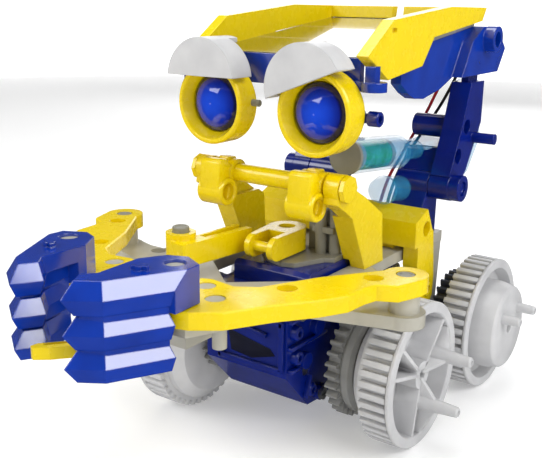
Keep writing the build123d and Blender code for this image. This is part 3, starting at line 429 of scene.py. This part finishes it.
FINISHES = {
    Slot.YELLOW: MouldedPlastic(Slot.YELLOW, "#F0D400", "#ECCE00", 0.26, 0.3),
    Slot.BLUE: MouldedPlastic(Slot.BLUE, "#0036A8", "#002C90", 0.16, 0.3, 1.95),
    # Painted shade: the blue plastic made darker for the gearbox, the motor cover and the neck, which sit
    # in shadow under the body and the head.
    Slot.PAINTED_SHADE_BLUE: MouldedPlastic(Slot.PAINTED_SHADE_BLUE, "#001C80", "#00166C", 0.2, 0.2, 1.7),
    Slot.PIN: MouldedPlastic(Slot.PIN, "#8E8C80", "#7A786C", 0.4, 0.2),
    # Painted shade: near-black blue for the sheet that fills the gearbox window, standing in for the shadow
    # inside it.
    Slot.SHADOW: MouldedPlastic(Slot.SHADOW, "#0C1030", "#080A22", 0.5, 0.1),
    Slot.WHITE: MouldedPlastic(Slot.WHITE, "#CDCDCE", "#BCBCBE", 0.4, 0.15),
    Slot.GREY: MouldedPlastic(Slot.GREY, "#B8B5A9", "#A6A397", 0.42, 0.15),
    Slot.GEAR: MouldedPlastic(Slot.GEAR, "#8C8C8A", "#7C7C7A", 0.45, 0.1, corner_mm=0.25),
    Slot.REAR_GEAR: MouldedPlastic(Slot.REAR_GEAR, "#42485C", "#343A4E", 0.45, 0.1, corner_mm=0.25),
    Slot.CELL: MouldedPlastic(Slot.CELL, "#1FA437", "#188A2C", 0.25, 0.6),
    Slot.RED_WIRE: MouldedPlastic(Slot.RED_WIRE, "#C2141A", "#A80F14", 0.3, 0.3),
    Slot.BLACK_WIRE: MouldedPlastic(Slot.BLACK_WIRE, "#141416", "#0C0C0E", 0.3, 0.3),
    Slot.CYAN: TintedPlastic(Slot.CYAN, "#3FB4EC", 0.32),
    Slot.LENS: LensGlass(),
    Slot.SOLAR: SolarGlass(),
    Slot.STEEL: PlatedSteel(),
}

NODE_SLOTS = {
    Slot.PIN: "linkage_bracket cell_contacts",
    Slot.YELLOW: "snap_pins yoke_left yoke_right crossbar cap_pins leg_left leg_right rear_frame left_arm "
    "right_arm "
    "thumb clevis push_link roof_left roof_right eye_rings",
    Slot.BLUE: "left_hand right_hand head_side_left head_side_right brow_beam",
    # Painted shade: these blue parts wear the darker copy of the blue plastic.
    Slot.PAINTED_SHADE_BLUE: "gearbox_left gearbox_right motor_cover neck_bracket_left neck_bracket_right neck_arm_left "
    "neck_arm_right",
    Slot.WHITE: "front_left_wheel front_right_wheel rear_left_wheel rear_right_wheel eyelid_left "
    "eyelid_right "
    "motor_pinion idler_gear left_output_gear right_output_gear",
    Slot.GREY: "chassis_plate left_wrist_bracket right_wrist_bracket axle_brackets",
    Slot.GEAR: "drive_gear right_hub_gear",
    Slot.REAR_GEAR: "rear_gear",
    Slot.CYAN: "capsule_shell capsule_strap lower_pod",
    Slot.LENS: "eye_lenses",
    Slot.SOLAR: "solar_panel",
    Slot.CELL: "battery_cell",
    Slot.STEEL: "gearbox_screws motor left_axle right_axle rear_axle",
    Slot.RED_WIRE: "red_wire",
    Slot.BLACK_WIRE: "black_wire",
}


@dataclass
class Paints:
    """Every finish, made once and handed to the pieces by slot."""

    made: dict[Slot, bpy.types.Material] = field(default_factory=dict)

    def build(self) -> None:
        """Make one material for each finish."""
        for slot, finish in FINISHES.items():
            self.made[slot] = finish.build()

    def dress_nodes(self, nodes: dict[str, bpy.types.Object]) -> None:
        """Give each carried-over part its finish.

        Args:
            nodes: The frame's part objects by name.
        """
        for slot, names in NODE_SLOTS.items():
            for name in names.split():
                part = nodes[name]
                if not part.material_slots:
                    part.data.materials.append(self.made[slot])
                for holder in part.material_slots:
                    holder.material = self.made[slot]


# Mesh helpers ---------------------------------------------------------------------


def finished(
    mesh: bmesh.types.BMesh, name: str, paints: Paints, slot: Slot, body: str, smooth_deg: float = 35.0
) -> bpy.types.Object:
    """Turn a bmesh into a dressed piece that rides on a body.

    Args:
        mesh: The shape, in metres.
        name: Name of the new object.
        paints: The finishes.
        slot: Which finish it wears.
        body: The body it moves with.
        smooth_deg: Corners sharper than this stay crisp.

    Returns:
        The new object.
    """
    bmesh.ops.remove_doubles(mesh, verts=mesh.verts, dist=1e-6)
    bmesh.ops.recalc_face_normals(mesh, faces=mesh.faces)
    data = bpy.data.meshes.new(name)
    mesh.to_mesh(data)
    mesh.free()
    piece = bpy.data.objects.new(name, data)
    bpy.context.scene.collection.objects.link(piece)
    data.materials.append(paints.made[slot])
    data.shade_smooth()
    data.set_sharp_from_angle(angle=math.radians(smooth_deg))
    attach(piece, body)
    LOG.info("%s: %d faces", name, len(data.polygons))
    return piece


def box_at(
    mesh: bmesh.types.BMesh, centre: Point, size: Point, turn: Matrix | None = None, soft: float = 0.0
) -> None:
    """Add a block with softened edges.

    Args:
        mesh: The mesh that gets it.
        centre: Its centre, in millimetres.
        size: Its three sides, in millimetres.
        turn: A rotation about its own centre.
        soft: Bevel width, in millimetres.
    """
    place = Matrix.Translation(Vector(centre) * MM) @ (turn or Matrix.Identity(4))
    place = place @ Matrix.Diagonal((*(s * MM for s in size), 1.0))
    made = bmesh.ops.create_cube(mesh, size=1.0, matrix=place)["verts"]
    if soft:
        edges = list({edge for vert in made for edge in vert.link_edges})
        bmesh.ops.bevel(
            mesh, geom=edges, offset=soft * MM, segments=2, profile=0.5, affect="EDGES", material=-1,
            clamp_overlap=True
        )


def lathe(
    mesh: bmesh.types.BMesh, section: Sequence[tuple[float, float]], centre: Point, axis: Vector, steps: int
) -> None:
    """Spin a half section round an axis.

    Args:
        mesh: The mesh that gets the turned shape.
        section: Points as (distance along the axis, radius), in millimetres.
        centre: The point that distances are counted from, in millimetres.
        axis: Unit vector of the axis.
        steps: Number of facets round.
    """
    side = axis.orthogonal().normalized()
    start = Vector(centre) * MM
    verts = [mesh.verts.new(start + (axis * along + side * radius) * MM) for along, radius in section]
    edges = [mesh.edges.new(pair) for pair in zip(verts, verts[1:])]
    bmesh.ops.spin(
        mesh, geom=verts + edges, cent=start, axis=axis, dvec=(
            0, 0, 0
        ), angle=2 * math.pi, steps=steps, use_merge=True
    )


def facing(origin: Point, across: Point, rise: Point) -> Matrix:
    """A frame in millimetres: its u runs along across, its v along rise, and its w out of both.

    Args:
        origin: Where u, v and w are zero, in millimetres.
        across: Unit direction of u.
        rise: Unit direction of v.

    Returns:
        The matrix that takes (u, v, w) in millimetres to metres.
    """
    u, v = Vector(across), Vector(rise)
    turned = Matrix((u, v, u.cross(v))).transposed().to_4x4()
    return Matrix.Translation(Vector(origin) * MM) @ turned @ Matrix.Scale(MM, 4)


def on_side(x: float) -> Matrix:
    """The frame of a face that looks along +X, with u along +Y and v up."""
    return facing((x, 0, 0), (0, 1, 0), (0, 0, 1))


def on_front(y: float) -> Matrix:
    """The frame of a face that looks along -Y, with u along +X and v up."""
    return facing((0, y, 0), (1, 0, 0), (0, 0, 1))


def plate(
    mesh: bmesh.types.BMesh, outline: Sequence[
        tuple[float, float]
    ], place: Matrix, thick: float, soft: float = 0.0
) -> list[bmesh.types.BMVert]:
    """Add a flat plate with a given outline.

    Args:
        mesh: The mesh that gets it.
        outline: Corners as (u, v), in millimetres.
        place: The frame that the outline is drawn in.
        thick: Thickness along w, in millimetres.
        soft: Bevel width, in millimetres.

    Returns:
        The plate's corner vertices before any bevel.
    """
    face = mesh.faces.new([mesh.verts.new(place @ Vector((u, v, 0))) for u, v in outline])
    grown = bmesh.ops.extrude_face_region(mesh, geom=[face])["geom"]
    moved = [item for item in grown if isinstance(item, bmesh.types.BMVert)]
    bmesh.ops.translate(mesh, vec=place.to_3x3() @ Vector((0, 0, thick)), verts=moved)
    corners = list(face.verts) + moved
    if soft:
        edges = list({edge for vert in corners for edge in vert.link_edges})
        bmesh.ops.bevel(
            mesh, geom=edges, offset=soft * MM, segments=2, profile=0.5, affect="EDGES", material=-1,
            clamp_overlap=True
        )
    return corners


def around_x(centre: tuple[float, float], degrees: float) -> Matrix:
    """A turn about an X axis through (y, z), in millimetres."""
    spot = Matrix.Translation(Vector((0, centre[0], centre[1])) * MM)
    return spot @ Matrix.Rotation(math.radians(degrees), 4, "X") @ spot.inverted()


# Wheels ---------------------------------------------------------------------------


@dataclass
class Wheel:
    """A moulded wheel with a ribbed tread, drawn in millimetres.

    Attributes:
        name: Name of the new piece.
        node: The frame part that it stands for.
        body: The body it turns with.
        centre_y: Where the axle is.
        rim_x: X of the tread's outer edge.
        out: X sign of the outer face.
        profile: Half section as (distance inward from rim_x, radius).
        pegs: Peg angles in degrees from +Y towards +Z.
        tip_x: X of the pegs' tips.
        peg_radii: Radius at a peg's root and at its tip.
        webs: Depths of the floor and of the edge of the webs.
        radius: Outside radius.
        tread: Width of the tread.
        ribs: Number of tread ribs.
    """

    name: str
    node: str
    body: str
    centre_y: float
    rim_x: float
    out: int
    profile: list[tuple[float, float]]
    pegs: list[float]
    tip_x: float
    peg_radii: tuple[float, float]
    webs: tuple[float, float]
    radius: float = 24.0
    tread: float = 10.6
    ribs: int = 44
    rim_r: float = 20.7
    peg_orbit: float = 9.3
    rim_w: float = 1.3
    fin_rise: float = 5.5

    def build(self, paints: Paints) -> bpy.types.Object:
        """Model the wheel and return it.

        Args:
            paints: The finishes.

        Returns:
            The finished wheel.
        """
        mesh = bmesh.new()
        axis = Vector((-self.out, 0, 0))
        hub: Point = (self.rim_x, self.centre_y, self.radius)
        lathe(mesh, self.profile + [self.profile[0]], hub, axis, 96)
        self._tread(mesh)
        self._webs(mesh)
        self._pegs(mesh)
        piece = finished(mesh, self.name, paints, Slot.WHITE, self.body, 30.0)
        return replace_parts(piece, self.node)

    def _tread(self, mesh: bmesh.types.BMesh) -> None:
        """Stand the ribs round the drum."""
        middle = self.rim_x - self.out * (self.tread + self.rim_w) / 2
        rib_w = 2 * math.pi * self.radius / self.ribs * 0.56
        for number in range(self.ribs):
            turn = around_x((self.centre_y, self.radius), 360 * number / self.ribs)
            before = set(mesh.verts)
            place: Point = (middle, self.centre_y, 2 * self.radius - 1.05)
            box_at(mesh, place, (self.tread - self.rim_w, rib_w, 1.96), soft=0.25)
            fresh = [vert for vert in mesh.verts if vert not in before]
            bmesh.ops.transform(mesh, matrix=turn, verts=fresh)

    def _webs(self, mesh: bmesh.types.BMesh) -> None:
        """Add the hub tube and the paired webs that run to each peg and away from them."""
        floor_x, edge_x = (self.rim_x - self.out * depth for depth in self.webs)
        middle, deep = (floor_x + edge_x) / 2, abs(edge_x - floor_x)
        span = self.rim_r - 3.0
        for angle in [*self.pegs, sum(self.pegs) / 2 + 180]:
            for spread in (-14, 14):
                turn = around_x((self.centre_y, self.radius), angle + spread)
                before = set(mesh.verts)
                centre: Point = (middle, self.centre_y + 3.0 + span / 2, self.radius)
                box_at(mesh, centre, (deep, span, 1.3), soft=0.2)
                fresh = [vert for vert in mesh.verts if vert not in before]
                bmesh.ops.transform(mesh, matrix=turn, verts=fresh)
        section = [(0.0, 2.0), (0.0, 4.2), (0.5, 4.7), (deep, 4.7), (deep, 2.0), (0.0, 2.0)]
        start = min(floor_x, edge_x)
        lathe(mesh, section, (start, self.centre_y, self.radius), Vector((1, 0, 0)), 32)
        if abs(self.tip_x) > abs(edge_x) and self.webs[0] > self.webs[1]:
            self._fins(mesh, floor_x, edge_x)

    def _fins(self, mesh: bmesh.types.BMesh, floor_x: float, edge_x: float) -> None:
        """Buttress each peg with a fin that falls away to the hub and to the rim."""
        top = edge_x + self.out * self.fin_rise
        reach = self.peg_orbit
        for angle in self.pegs:
            turn = math.radians(angle)
            outward = (0.0, math.cos(turn), math.sin(turn))
            frame = facing((0, self.centre_y, self.radius), (1, 0, 0), outward)
            slide = frame.to_3x3() @ Vector((0, 0, -0.8))
            outline = [
                (floor_x, 1.0), (edge_x, 1.0), (top, reach - 1.5), (top, reach + 1.5),
                (edge_x, self.rim_r - 0.2)
            ]
            outline += [(floor_x, self.rim_r - 0.2)]
            before = set(mesh.verts)
            plate(mesh, outline, frame, 1.6, soft=0.3)
            bmesh.ops.translate(mesh, vec=slide, verts=[vert for vert in mesh.verts if vert not in before])

    def _pegs(self, mesh: bmesh.types.BMesh) -> None:
        """Add the two tapering pegs with their softened, dimpled tips."""
        floor_x, edge_x = (self.rim_x - self.out * depth for depth in self.webs)
        root_x = floor_x if abs(self.tip_x) > abs(floor_x) else edge_x
        length = abs(self.tip_x - root_x)
        root_r, tip_r = self.peg_radii
        section = [
            (0.0, root_r), (length - 0.5, tip_r), (length, tip_r - 0.4), (length, 0.8), (length - 1.2, 0.6),
            (length - 1.2, 0.0)
        ]
        for angle in self.pegs:
            y = self.centre_y + self.peg_orbit * math.cos(math.radians(angle))
            z = self.radius + self.peg_orbit * math.sin(math.radians(angle))
            lathe(mesh, section, (root_x, y, z), Vector((self.out, 0, 0)), 28)


SHOULDER = [
    (1.3, 22.1), (1.3, 23.6), (1.0, 23.95), (0.3, 23.95), (0.0, 23.6), (0.0, 20.7), (0.4, 20.3), (8.6, 20.3)
]
SHOULDER += [(8.6, 2.1), (15.9, 2.1), (15.9, 16.9), (15.4, 17.4), (12.8, 20.4), (10.6, 20.4), (10.6, 22.1)]
BOSS_SIDE = [
    (1.3, 22.1), (1.3, 23.6), (1.0, 23.95), (0.3, 23.95), (0.0, 23.6), (0.0, 20.7), (4.0, 19.6), (4.0, 16.2)
]
BOSS_SIDE += [(-0.6, 16.2), (-2.2, 16.0), (-6.0, 15.1), (-6.7, 14.4), (-7.0, 13.4), (-7.0, 2.1), (5.6, 2.1)]
BOSS_SIDE += [(5.6, 20.7), (10.6, 21.2), (10.6, 22.1)]


@dataclass
class WheelSet:
    """The four wheels."""

    left_rim: float = 52.4
    right_rim: float = -33.0
    rear_y: float = 61.1

    def build(self, paints: Paints) -> None:
        """Build every wheel.

        Args:
            paints: The finishes.
        """
        far = self.right_rim
        rear = ([37, 143], 66.0, (2.3, 1.6), (5.5, 10.0))
        wheels = [
            Wheel(
                "wheel_front_left", "front_left_wheel", "left_drive", 5.1, self.left_rim, 1, SHOULDER,
                [-89, 31], 64.9, (3.2, 1.7), (8.6, 0.5)
            ),
            Wheel(
                "wheel_front_right", "front_right_wheel", "right_drive", -13.9, far, -1, SHOULDER,
                [149, 269], far - 12.5, (3.2, 1.7), (8.6, 0.5)
            ),
            Wheel(
                "wheel_rear_left", "rear_left_wheel", "rear_set", self.rear_y, self.left_rim, 1, BOSS_SIDE,
                *rear
            ),
            Wheel(
                "wheel_rear_right", "rear_right_wheel", "rear_set", self.rear_y, -self.left_rim, -1,
                BOSS_SIDE, rear[0], -66.0, *rear[2:]
            ),
        ]
        for wheel in wheels:
            wheel.build(paints)


# Pins ------------------------------------------------------------------------------


@dataclass
class SnapPins:
    """The round pins that hold the limbs to the chassis, drawn in millimetres.

    Attributes:
        radius: Radius of a pin.
        arm: Plan place of the left arm's pin.
        link: Plan place of the push link's pin.
        frame: Side place of the torso frame's pin, as (y, z).
        neck: Side place of the neck's pin, as (y, z).
    """

    radius: float = 2.7
    arm: tuple[float, float] = (55.6, -18.3)
    link: tuple[float, float] = (-16.5, -32.0)
    frame: tuple[float, float] = (43.8, 38.2)
    neck: tuple[float, float] = (60.3, 73.0)

    def build(self, paints: Paints) -> None:
        """Turn every pin.

        Args:
            paints: The finishes.
        """
        up = Vector((0, 0, 1))
        grey = bmesh.new()
        for x, y, low, high in (
            (*self.arm, 50.2, 64.9), (-self.arm[0], self.arm[1], 50.2, 64.9), (*self.link, 50.2, 69.8)
        ):
            lathe(grey, self._pin(high - low), (x, y, low), up, 32)
        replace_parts(finished(grey, "pins_grey", paints, Slot.PIN, "root"), "snap_pins")
        # The neck pins wear the painted-shade copy of the blue plastic.
        yellow, neck_pins_shaded = bmesh.new(), bmesh.new()
        for side in (1, -1):
            out = Vector((side, 0, 0))
            lathe(yellow, self._tube(6.6), (side * 27.95, *self.frame), out, 32)
            lathe(neck_pins_shaded, self._pin(24.4), (side * 13.0, *self.neck), out, 32)
        finished(yellow, "pins_yellow", paints, Slot.YELLOW, "root")
        finished(neck_pins_shaded, "pins_neck", paints, Slot.PAINTED_SHADE_BLUE, "root")

    def _pin(self, length: float) -> list[tuple[float, float]]:
        """Half section of a solid pin with a soft rim and a shallow dimple."""
        r = self.radius
        return [
            (0.0, 0.0), (0.0, r), (length - 0.3, r), (length, r - 0.3), (length, 1.9), (length - 0.25, 1.7),
            (length - 0.25, 0.0)
        ]

    def _tube(self, length: float) -> list[tuple[float, float]]:
        """Half section of a hollow pin."""
        r = self.radius
        return [(0.0, 1.5), (0.0, r), (length - 0.3, r), (length, r - 0.3), (length, 1.5), (0.0, 1.5)]


# Torso ------------------------------------------------------------------------------


@dataclass
class Shoulders:
    """The two yokes that hold the crossbar, each a boss tube, a clamp and a web, in millimetres.

    Attributes:
        boss: Middle of the boss tube, as (y, z).
        bar: Middle of the crossbar, as (y, z).
        near_x: X span of the left yoke.
    """

    boss: tuple[float, float] = (-12.5, 77.8)
    bar: tuple[float, float] = (-6.9, 83.5)
    near_x: tuple[float, float] = (12.4, 22.6)

    def build(self, paints: Paints) -> None:
        """Model both yokes.

        Args:
            paints: The finishes.
        """
        for name, side in (("left", 1), ("right", -1)):
            mesh = bmesh.new()
            low, high = sorted(side * x for x in self.near_x)
            wide = high - low
            ring = [
                (0.4, 2.8), (0.4, 3.1), (0.0, 3.4), (0.0, 4.2), (0.4, 4.6), (wide - 0.4, 4.6), (wide, 4.2)
            ]
            ring += [(wide, 3.4), (wide - 0.4, 3.1), (wide - 0.4, 2.8), (0.4, 2.8)]
            lathe(mesh, ring, (low, *self.boss), Vector((1, 0, 0)), 40)
            clamp = [(0.6, 3.02), (0.6, 4.4), (wide - 0.6, 4.4), (wide - 0.6, 3.02), (0.6, 3.02)]
            lathe(mesh, clamp, (low, *self.bar), Vector((1, 0, 0)), 36)
            web = [
                (-16.9, 79.0), (-16.2, 87.9), (-15.0, 88.8), (-12.6, 88.8), (-10.6, 86.6), (-9.9, 84.4),
                (-9.6, 81.0)
            ]
            web += [(-11.0, 80.6), (-14.6, 80.6)]
            plate(mesh, web, on_side(low + 1.0), wide - 2.0, soft=0.5)
            brace = [(-10.5, 73.9), (-4.2, 79.2), (-6.0, 80.3), (-9.6, 80.8), (-11.6, 75.2)]
            plate(mesh, brace, on_side(low + 2.0), wide - 4.0, soft=0.4)
            lug = [(-9.4, 87.4), (-9.0, 88.8), (-5.0, 88.4), (-4.2, 86.8), (-5.6, 86.3), (-8.4, 86.6)]
            plate(mesh, lug, on_side(low + 3.2), wide - 6.4, soft=0.3)
            piece = finished(mesh, "yoke_piece_" + name, paints, Slot.YELLOW, "root", 30.0)
            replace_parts(piece, "yoke_" + name)


@dataclass
class EyeStubs:
    """The hollow stub beside the left eye and the small grey one behind the right eye, in millimetres."""

    near: Point = (29.0, -3.4, 105.1)
    far: Point = (-8.4, -7.2, 107.0)

    def build(self, paints: Paints) -> None:
        """Turn both stubs.

        Args:
            paints: The finishes.
        """
        out = Vector((1, 0, 0))
        tube = bmesh.new()
        section = [
            (0.0, 0.0), (0.0, 1.5), (4.6, 1.5), (4.8, 2.3), (8.2, 2.3), (8.4, 2.1), (8.4, 1.2), (6.4, 1.1),
            (6.4, 0.0)
        ]
        lathe(tube, section, self.near, out, 28)
        # The stub wears the painted-shade copy of the blue plastic.
        finished(tube, "stub_left", paints, Slot.PAINTED_SHADE_BLUE, "head", 30.0)
        rod = bmesh.new()
        lathe(rod, [(0.0, 0.0), (0.0, 1.1), (4.2, 1.1), (4.4, 0.9), (4.4, 0.0)], self.far, out, 20)
        finished(rod, "stub_right", paints, Slot.PIN, "head", 30.0)


# Gearbox ----------------------------------------------------------------------------


@dataclass
class GearboxRelief:
    """The ribs, bosses and the framed window on the gearbox's outer faces, with the window filled by a
    painted-shade sheet, in millimetres.

    Attributes:
        face_x: X of the left outer face.
        front_y: Y of the front face.
    """

    face_x: float = 20.0
    front_y: float = -25.0

    def build(self, paints: Paints) -> None:
        """Model the relief.

        Args:
            paints: The finishes.
        """
        ribs = bmesh.new()
        for outline in (
            [(-24.8, 34.0), (-4.0, 34.0), (-4.0, 35.4), (-24.8, 35.4)],
            [(-24.6, 26.4), (-19.6, 26.4), (-19.6, 27.6), (-24.6, 27.6)],
            [(-24.8, 43.0), (-8.0, 43.0), (-8.0, 44.2), (-24.8, 44.2)],
            [(-15.6, 14.8), (-14.4, 14.2), (-12.0, 22.0), (-13.2, 22.4)],
            [(-6.0, 11.2), (-4.8, 11.0), (-4.2, 16.0), (-5.4, 16.0)],
            [(12.0, 40.0), (40.0, 40.0), (40.0, 41.2), (12.0, 41.2)],
            [(14.0, 30.0), (30.0, 30.0), (30.0, 31.2), (14.0, 31.2)],
        ):
            plate(ribs, outline, on_side(self.face_x - 0.05), 1.8, soft=0.25)
        for y, z in ((-20.6, 30.8), (-12.4, 16.8), (-21.0, 39.2), (8.0, 33.0), (26.0, 35.0)):
            section = [(0.0, 2.6), (1.9, 2.3), (2.3, 1.9), (2.3, 1.0), (1.0, 0.9), (1.0, 0.0)]
            lathe(ribs, section, (self.face_x - 0.05, y, z), Vector((1, 0, 0)), 24)
        # The ribs and bosses wear the painted-shade copy of the blue plastic.
        finished(ribs, "gearbox_ribs", paints, Slot.PAINTED_SHADE_BLUE, "root", 30.0)
        frame = bmesh.new()
        bars = (
            [(-9.5, 46.5), (-6.5, 26.0), (-4.9, 26.0), (-7.9, 46.5)],
            [(-8.0, 46.8), (19.0, 43.4), (19.0, 41.6), (-7.7, 45.0)],
            [(19.2, 43.6), (19.2, 27.0), (17.4, 27.0), (17.4, 43.6)],
            [(-6.8, 28.0), (18.6, 28.0), (18.6, 26.2), (-6.6, 26.2)],
            [(2.0, 40.0), (12.6, 38.4), (12.6, 37.0), (2.0, 38.6)],
        )
        for outline in bars:
            plate(frame, outline, on_front(self.front_y + 0.05), 1.4, soft=0.3)
        # The frame wears the painted-shade copy of the blue plastic.
        finished(frame, "gearbox_window_frame", paints, Slot.PAINTED_SHADE_BLUE, "root", 30.0)
        # Painted shade: a thin near-black sheet laid in the window frame, standing in for the shadow inside
        # the gearbox.
        window_shade_sheet = bmesh.new()
        plate(
            window_shade_sheet, [(-3.0, 36.4), (13.6, 33.4), (15.6, 31.4), (6.6, 28.6), (-1.6, 29.4)],
            on_front(self.front_y + 0.1), 0.35, soft=0.1
        )
        finished(window_shade_sheet, "gearbox_window_painted_shade", paints, Slot.SHADOW, "root", 30.0)


# Wires ------------------------------------------------------------------------------


@dataclass
class PanelWire:
    """One thin wire from the solar panel down into the chassis.

    Attributes:
        name: Name of the new piece.
        node: The frame part that it stands for.
        slot: Its insulation's finish.
        length: Real length, in metres; not used.
        route: The control points, in metres.
        diameter: Over the insulation, in metres.
    """

    name: str
    node: str
    slot: Slot
    length: float
    route: list[Point]
    diameter: float = 0.0012

    def build(self, paints: Paints) -> bpy.types.Object:
        """Args:
            paints: The finishes.

        Returns:
            The wire.
        """
        curve = bpy.data.curves.new(self.name, "CURVE")
        curve.dimensions = "3D"
        spline = curve.splines.new("NURBS")
        spline.points.add(len(self.route) - 1)
        for point, place in zip(spline.points, self.route):
            point.co = (*place, 1.0)
        spline.order_u = 3
        spline.use_endpoint_u = True
        spline.resolution_u = 8
        curve.bevel_depth = self.diameter / 2
        curve.bevel_resolution = 4
        curve.use_fill_caps = True
        curve.materials.append(paints.made[self.slot])
        piece = bpy.data.objects.new(self.name, curve)
        bpy.context.scene.collection.objects.link(piece)
        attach(piece, "root")
        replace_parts(piece, self.node)
        LOG.info("%s: %d points", self.name, len(self.route))
        return piece


BLACK_ROUTE: list[Point] = [
    (0.0256, 0.0815, 0.1166), (0.0215, 0.0832, 0.1085), (0.0176, 0.0829, 0.1005), (0.0138, 0.0808, 0.093),
    (0.0112, 0.0758, 0.0864), (0.0113, 0.0684, 0.0816), (0.0112, 0.0618, 0.0768), (0.0115, 0.0562, 0.071),
    (0.0113, 0.0523, 0.0636), (0.0112, 0.0512, 0.0542),
]
RED_ROUTE: list[Point] = [
    (0.0256, 0.0765, 0.1172), (0.0218, 0.073, 0.1106), (0.0182, 0.074, 0.1038), (0.0142, 0.0772, 0.0976),
    (0.0102, 0.0774, 0.0908), (0.0086, 0.0734, 0.0849), (0.0088, 0.0666, 0.08), (0.0086, 0.06, 0.0754),
    (0.0089, 0.0544, 0.0694), (0.0088, 0.0506, 0.062), (0.009, 0.0496, 0.0542),
]


# Studio -----------------------------------------------------------------------------


@dataclass
class Studio:
    """Floor, soft lights and the camera.

    Attributes:
        eye: Camera position, in metres.
        azimuth: Degrees round from the front.
        pitch: Degrees that it looks down.
        roll: Degrees that it leans.
        lens: Focal length in millimetres on a 36 mm sensor.
    """

    eye: Point = (0.15471, -0.22115, 0.1395)
    azimuth: float = 35.74
    pitch: float = 15.52
    roll: float = 0.57
    lens: float = 55.36

    def build(self) -> None:
        """Set up the camera, the floor and the lights."""
        self._camera()
        self._floor()
        self._backdrop()
        self._world()
        self._lamp("key_softbox", (0.55, -0.10, 0.53), 0.45, 0.36, 3.0)
        self._lamp("top_softbox", (-0.10, 0.05, 0.75), 0.55, 0.55, 3.2)
        self._lamp("front_softbox", (-0.42, -0.62, 0.56), 0.50, 0.36, 3.0)
        self._lamp("panel_softbox", (-0.32, 0.80, 0.34), 0.7, 0.35, 1.6)
        # Plain colour response, with no film curve, so that the plastics keep their full colour.
        bpy.context.scene.view_settings.view_transform = "Standard"

    def _camera(self) -> None:
        """Place the camera from its angles."""
        a, e, r = (math.radians(v) for v in (self.azimuth, self.pitch, self.roll))
        back = Vector((math.sin(a) * math.cos(e), -math.cos(a) * math.cos(e), math.sin(e)))
        right = Vector((math.cos(a), math.sin(a), 0))
        up = back.cross(right)
        leaned = right * math.cos(r) + up * math.sin(r)
        risen = up * math.cos(r) - right * math.sin(r)
        data = bpy.data.cameras.new("camera")
        data.lens = self.lens
        data.sensor_width = 36.0
        data.sensor_fit = "HORIZONTAL"
        data.clip_start = 0.01
        camera = bpy.data.objects.new("camera", data)
        bpy.context.scene.collection.objects.link(camera)
        camera.matrix_world = Matrix.Translation(Vector(self.eye)) @ Matrix(
            (leaned, risen, back)
        ).transposed().to_4x4()
        bpy.context.scene.camera = camera

    def _floor(self) -> None:
        """Lay a flat, plain, pale floor that reaches past the view."""
        mesh = bmesh.new()
        bmesh.ops.create_grid(mesh, x_segments=1, y_segments=1, size=4.0)
        data = bpy.data.meshes.new("floor")
        mesh.to_mesh(data)
        mesh.free()
        floor = bpy.data.objects.new("floor", data)
        bpy.context.scene.collection.objects.link(floor)
        material = bpy.data.materials.new("matte_paper_floor")
        material.use_nodes = True
        shader = material.node_tree.nodes["Principled BSDF"]
        shader.inputs["Base Color"].default_value = linear("#F4F4F4")
        shader.inputs["Emission Color"].default_value = (1.0, 1.0, 1.0, 1.0)
        shader.inputs["Emission Strength"].default_value = 0.2
        shader.inputs["Roughness"].default_value = 0.7
        data.materials.append(material)
        # Kept out of reflections, where it would haze the blue plastic.
        floor.visible_glossy = False

    def _backdrop(self) -> None:
        """Stand a low ring of lit white cloth round the floor."""
        mesh = bmesh.new()
        bmesh.ops.create_cone(mesh, cap_ends=False, segments=96, radius1=1.3, radius2=1.3, depth=0.5)
        bmesh.ops.translate(mesh, vec=(0, 0, 0.25), verts=mesh.verts)
        bmesh.ops.reverse_faces(mesh, faces=mesh.faces)
        data = bpy.data.meshes.new("backdrop")
        mesh.to_mesh(data)
        mesh.free()
        cloth = bpy.data.objects.new("backdrop", data)
        bpy.context.scene.collection.objects.link(cloth)
        material = bpy.data.materials.new("lit_white_cloth")
        material.use_nodes = True
        shader = material.node_tree.nodes["Principled BSDF"]
        shader.inputs["Base Color"].default_value = linear("#F4F4F4")
        shader.inputs["Roughness"].default_value = 0.9
        shader.inputs["Emission Color"].default_value = (1.0, 1.0, 1.0, 1.0)
        shader.inputs["Emission Strength"].default_value = 0.65
        data.materials.append(material)
        # Kept out of reflections, as the floor is.
        cloth.visible_glossy = False

    def _world(self) -> None:
        """Fill with even pale light."""
        world = bpy.data.worlds.new("studio_air")
        world.use_nodes = True
        air = world.node_tree.nodes["Background"]
        air.inputs["Color"].default_value = (1.0, 1.0, 1.0, 1.0)
        air.inputs["Strength"].default_value = 0.09
        bpy.context.scene.world = world

    def _lamp(self, name: str, place: Point, wide: float, tall: float, watts: float) -> None:
        """Hang one softbox that faces the robot.

        Args:
            name: Its name.
            place: Where it hangs, in metres.
            wide: Width in metres.
            tall: Height in metres.
            watts: Power.
        """
        data = bpy.data.lights.new(name, "AREA")
        data.shape = "RECTANGLE"
        data.size, data.size_y = wide, tall
        data.energy = watts
        lamp = bpy.data.objects.new(name, data)
        bpy.context.scene.collection.objects.link(lamp)
        spot = Vector(place)
        aim = (Vector((0, 0, 0.07)) - spot).to_track_quat("-Z", "Y")
        lamp.matrix_world = Matrix.Translation(spot) @ aim.to_matrix().to_4x4()


def main() -> None:
    """Build the robot's looks in order."""
    logging.basicConfig(level=logging.INFO)
    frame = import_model()
    Studio().build()
    paints = Paints()
    paints.build()
    paints.dress_nodes(frame["nodes"])
    PanelWire("wire_black", "black_wire", Slot.BLACK_WIRE, 0.0765, BLACK_ROUTE).build(paints)
    PanelWire("wire_red", "red_wire", Slot.RED_WIRE, 0.078, RED_ROUTE).build(paints)
    WheelSet().build(paints)
    SnapPins().build(paints)
    Shoulders().build(paints)
    GearboxRelief().build(paints)
    EyeStubs().build(paints)


if __name__ == "__main__":
    main()
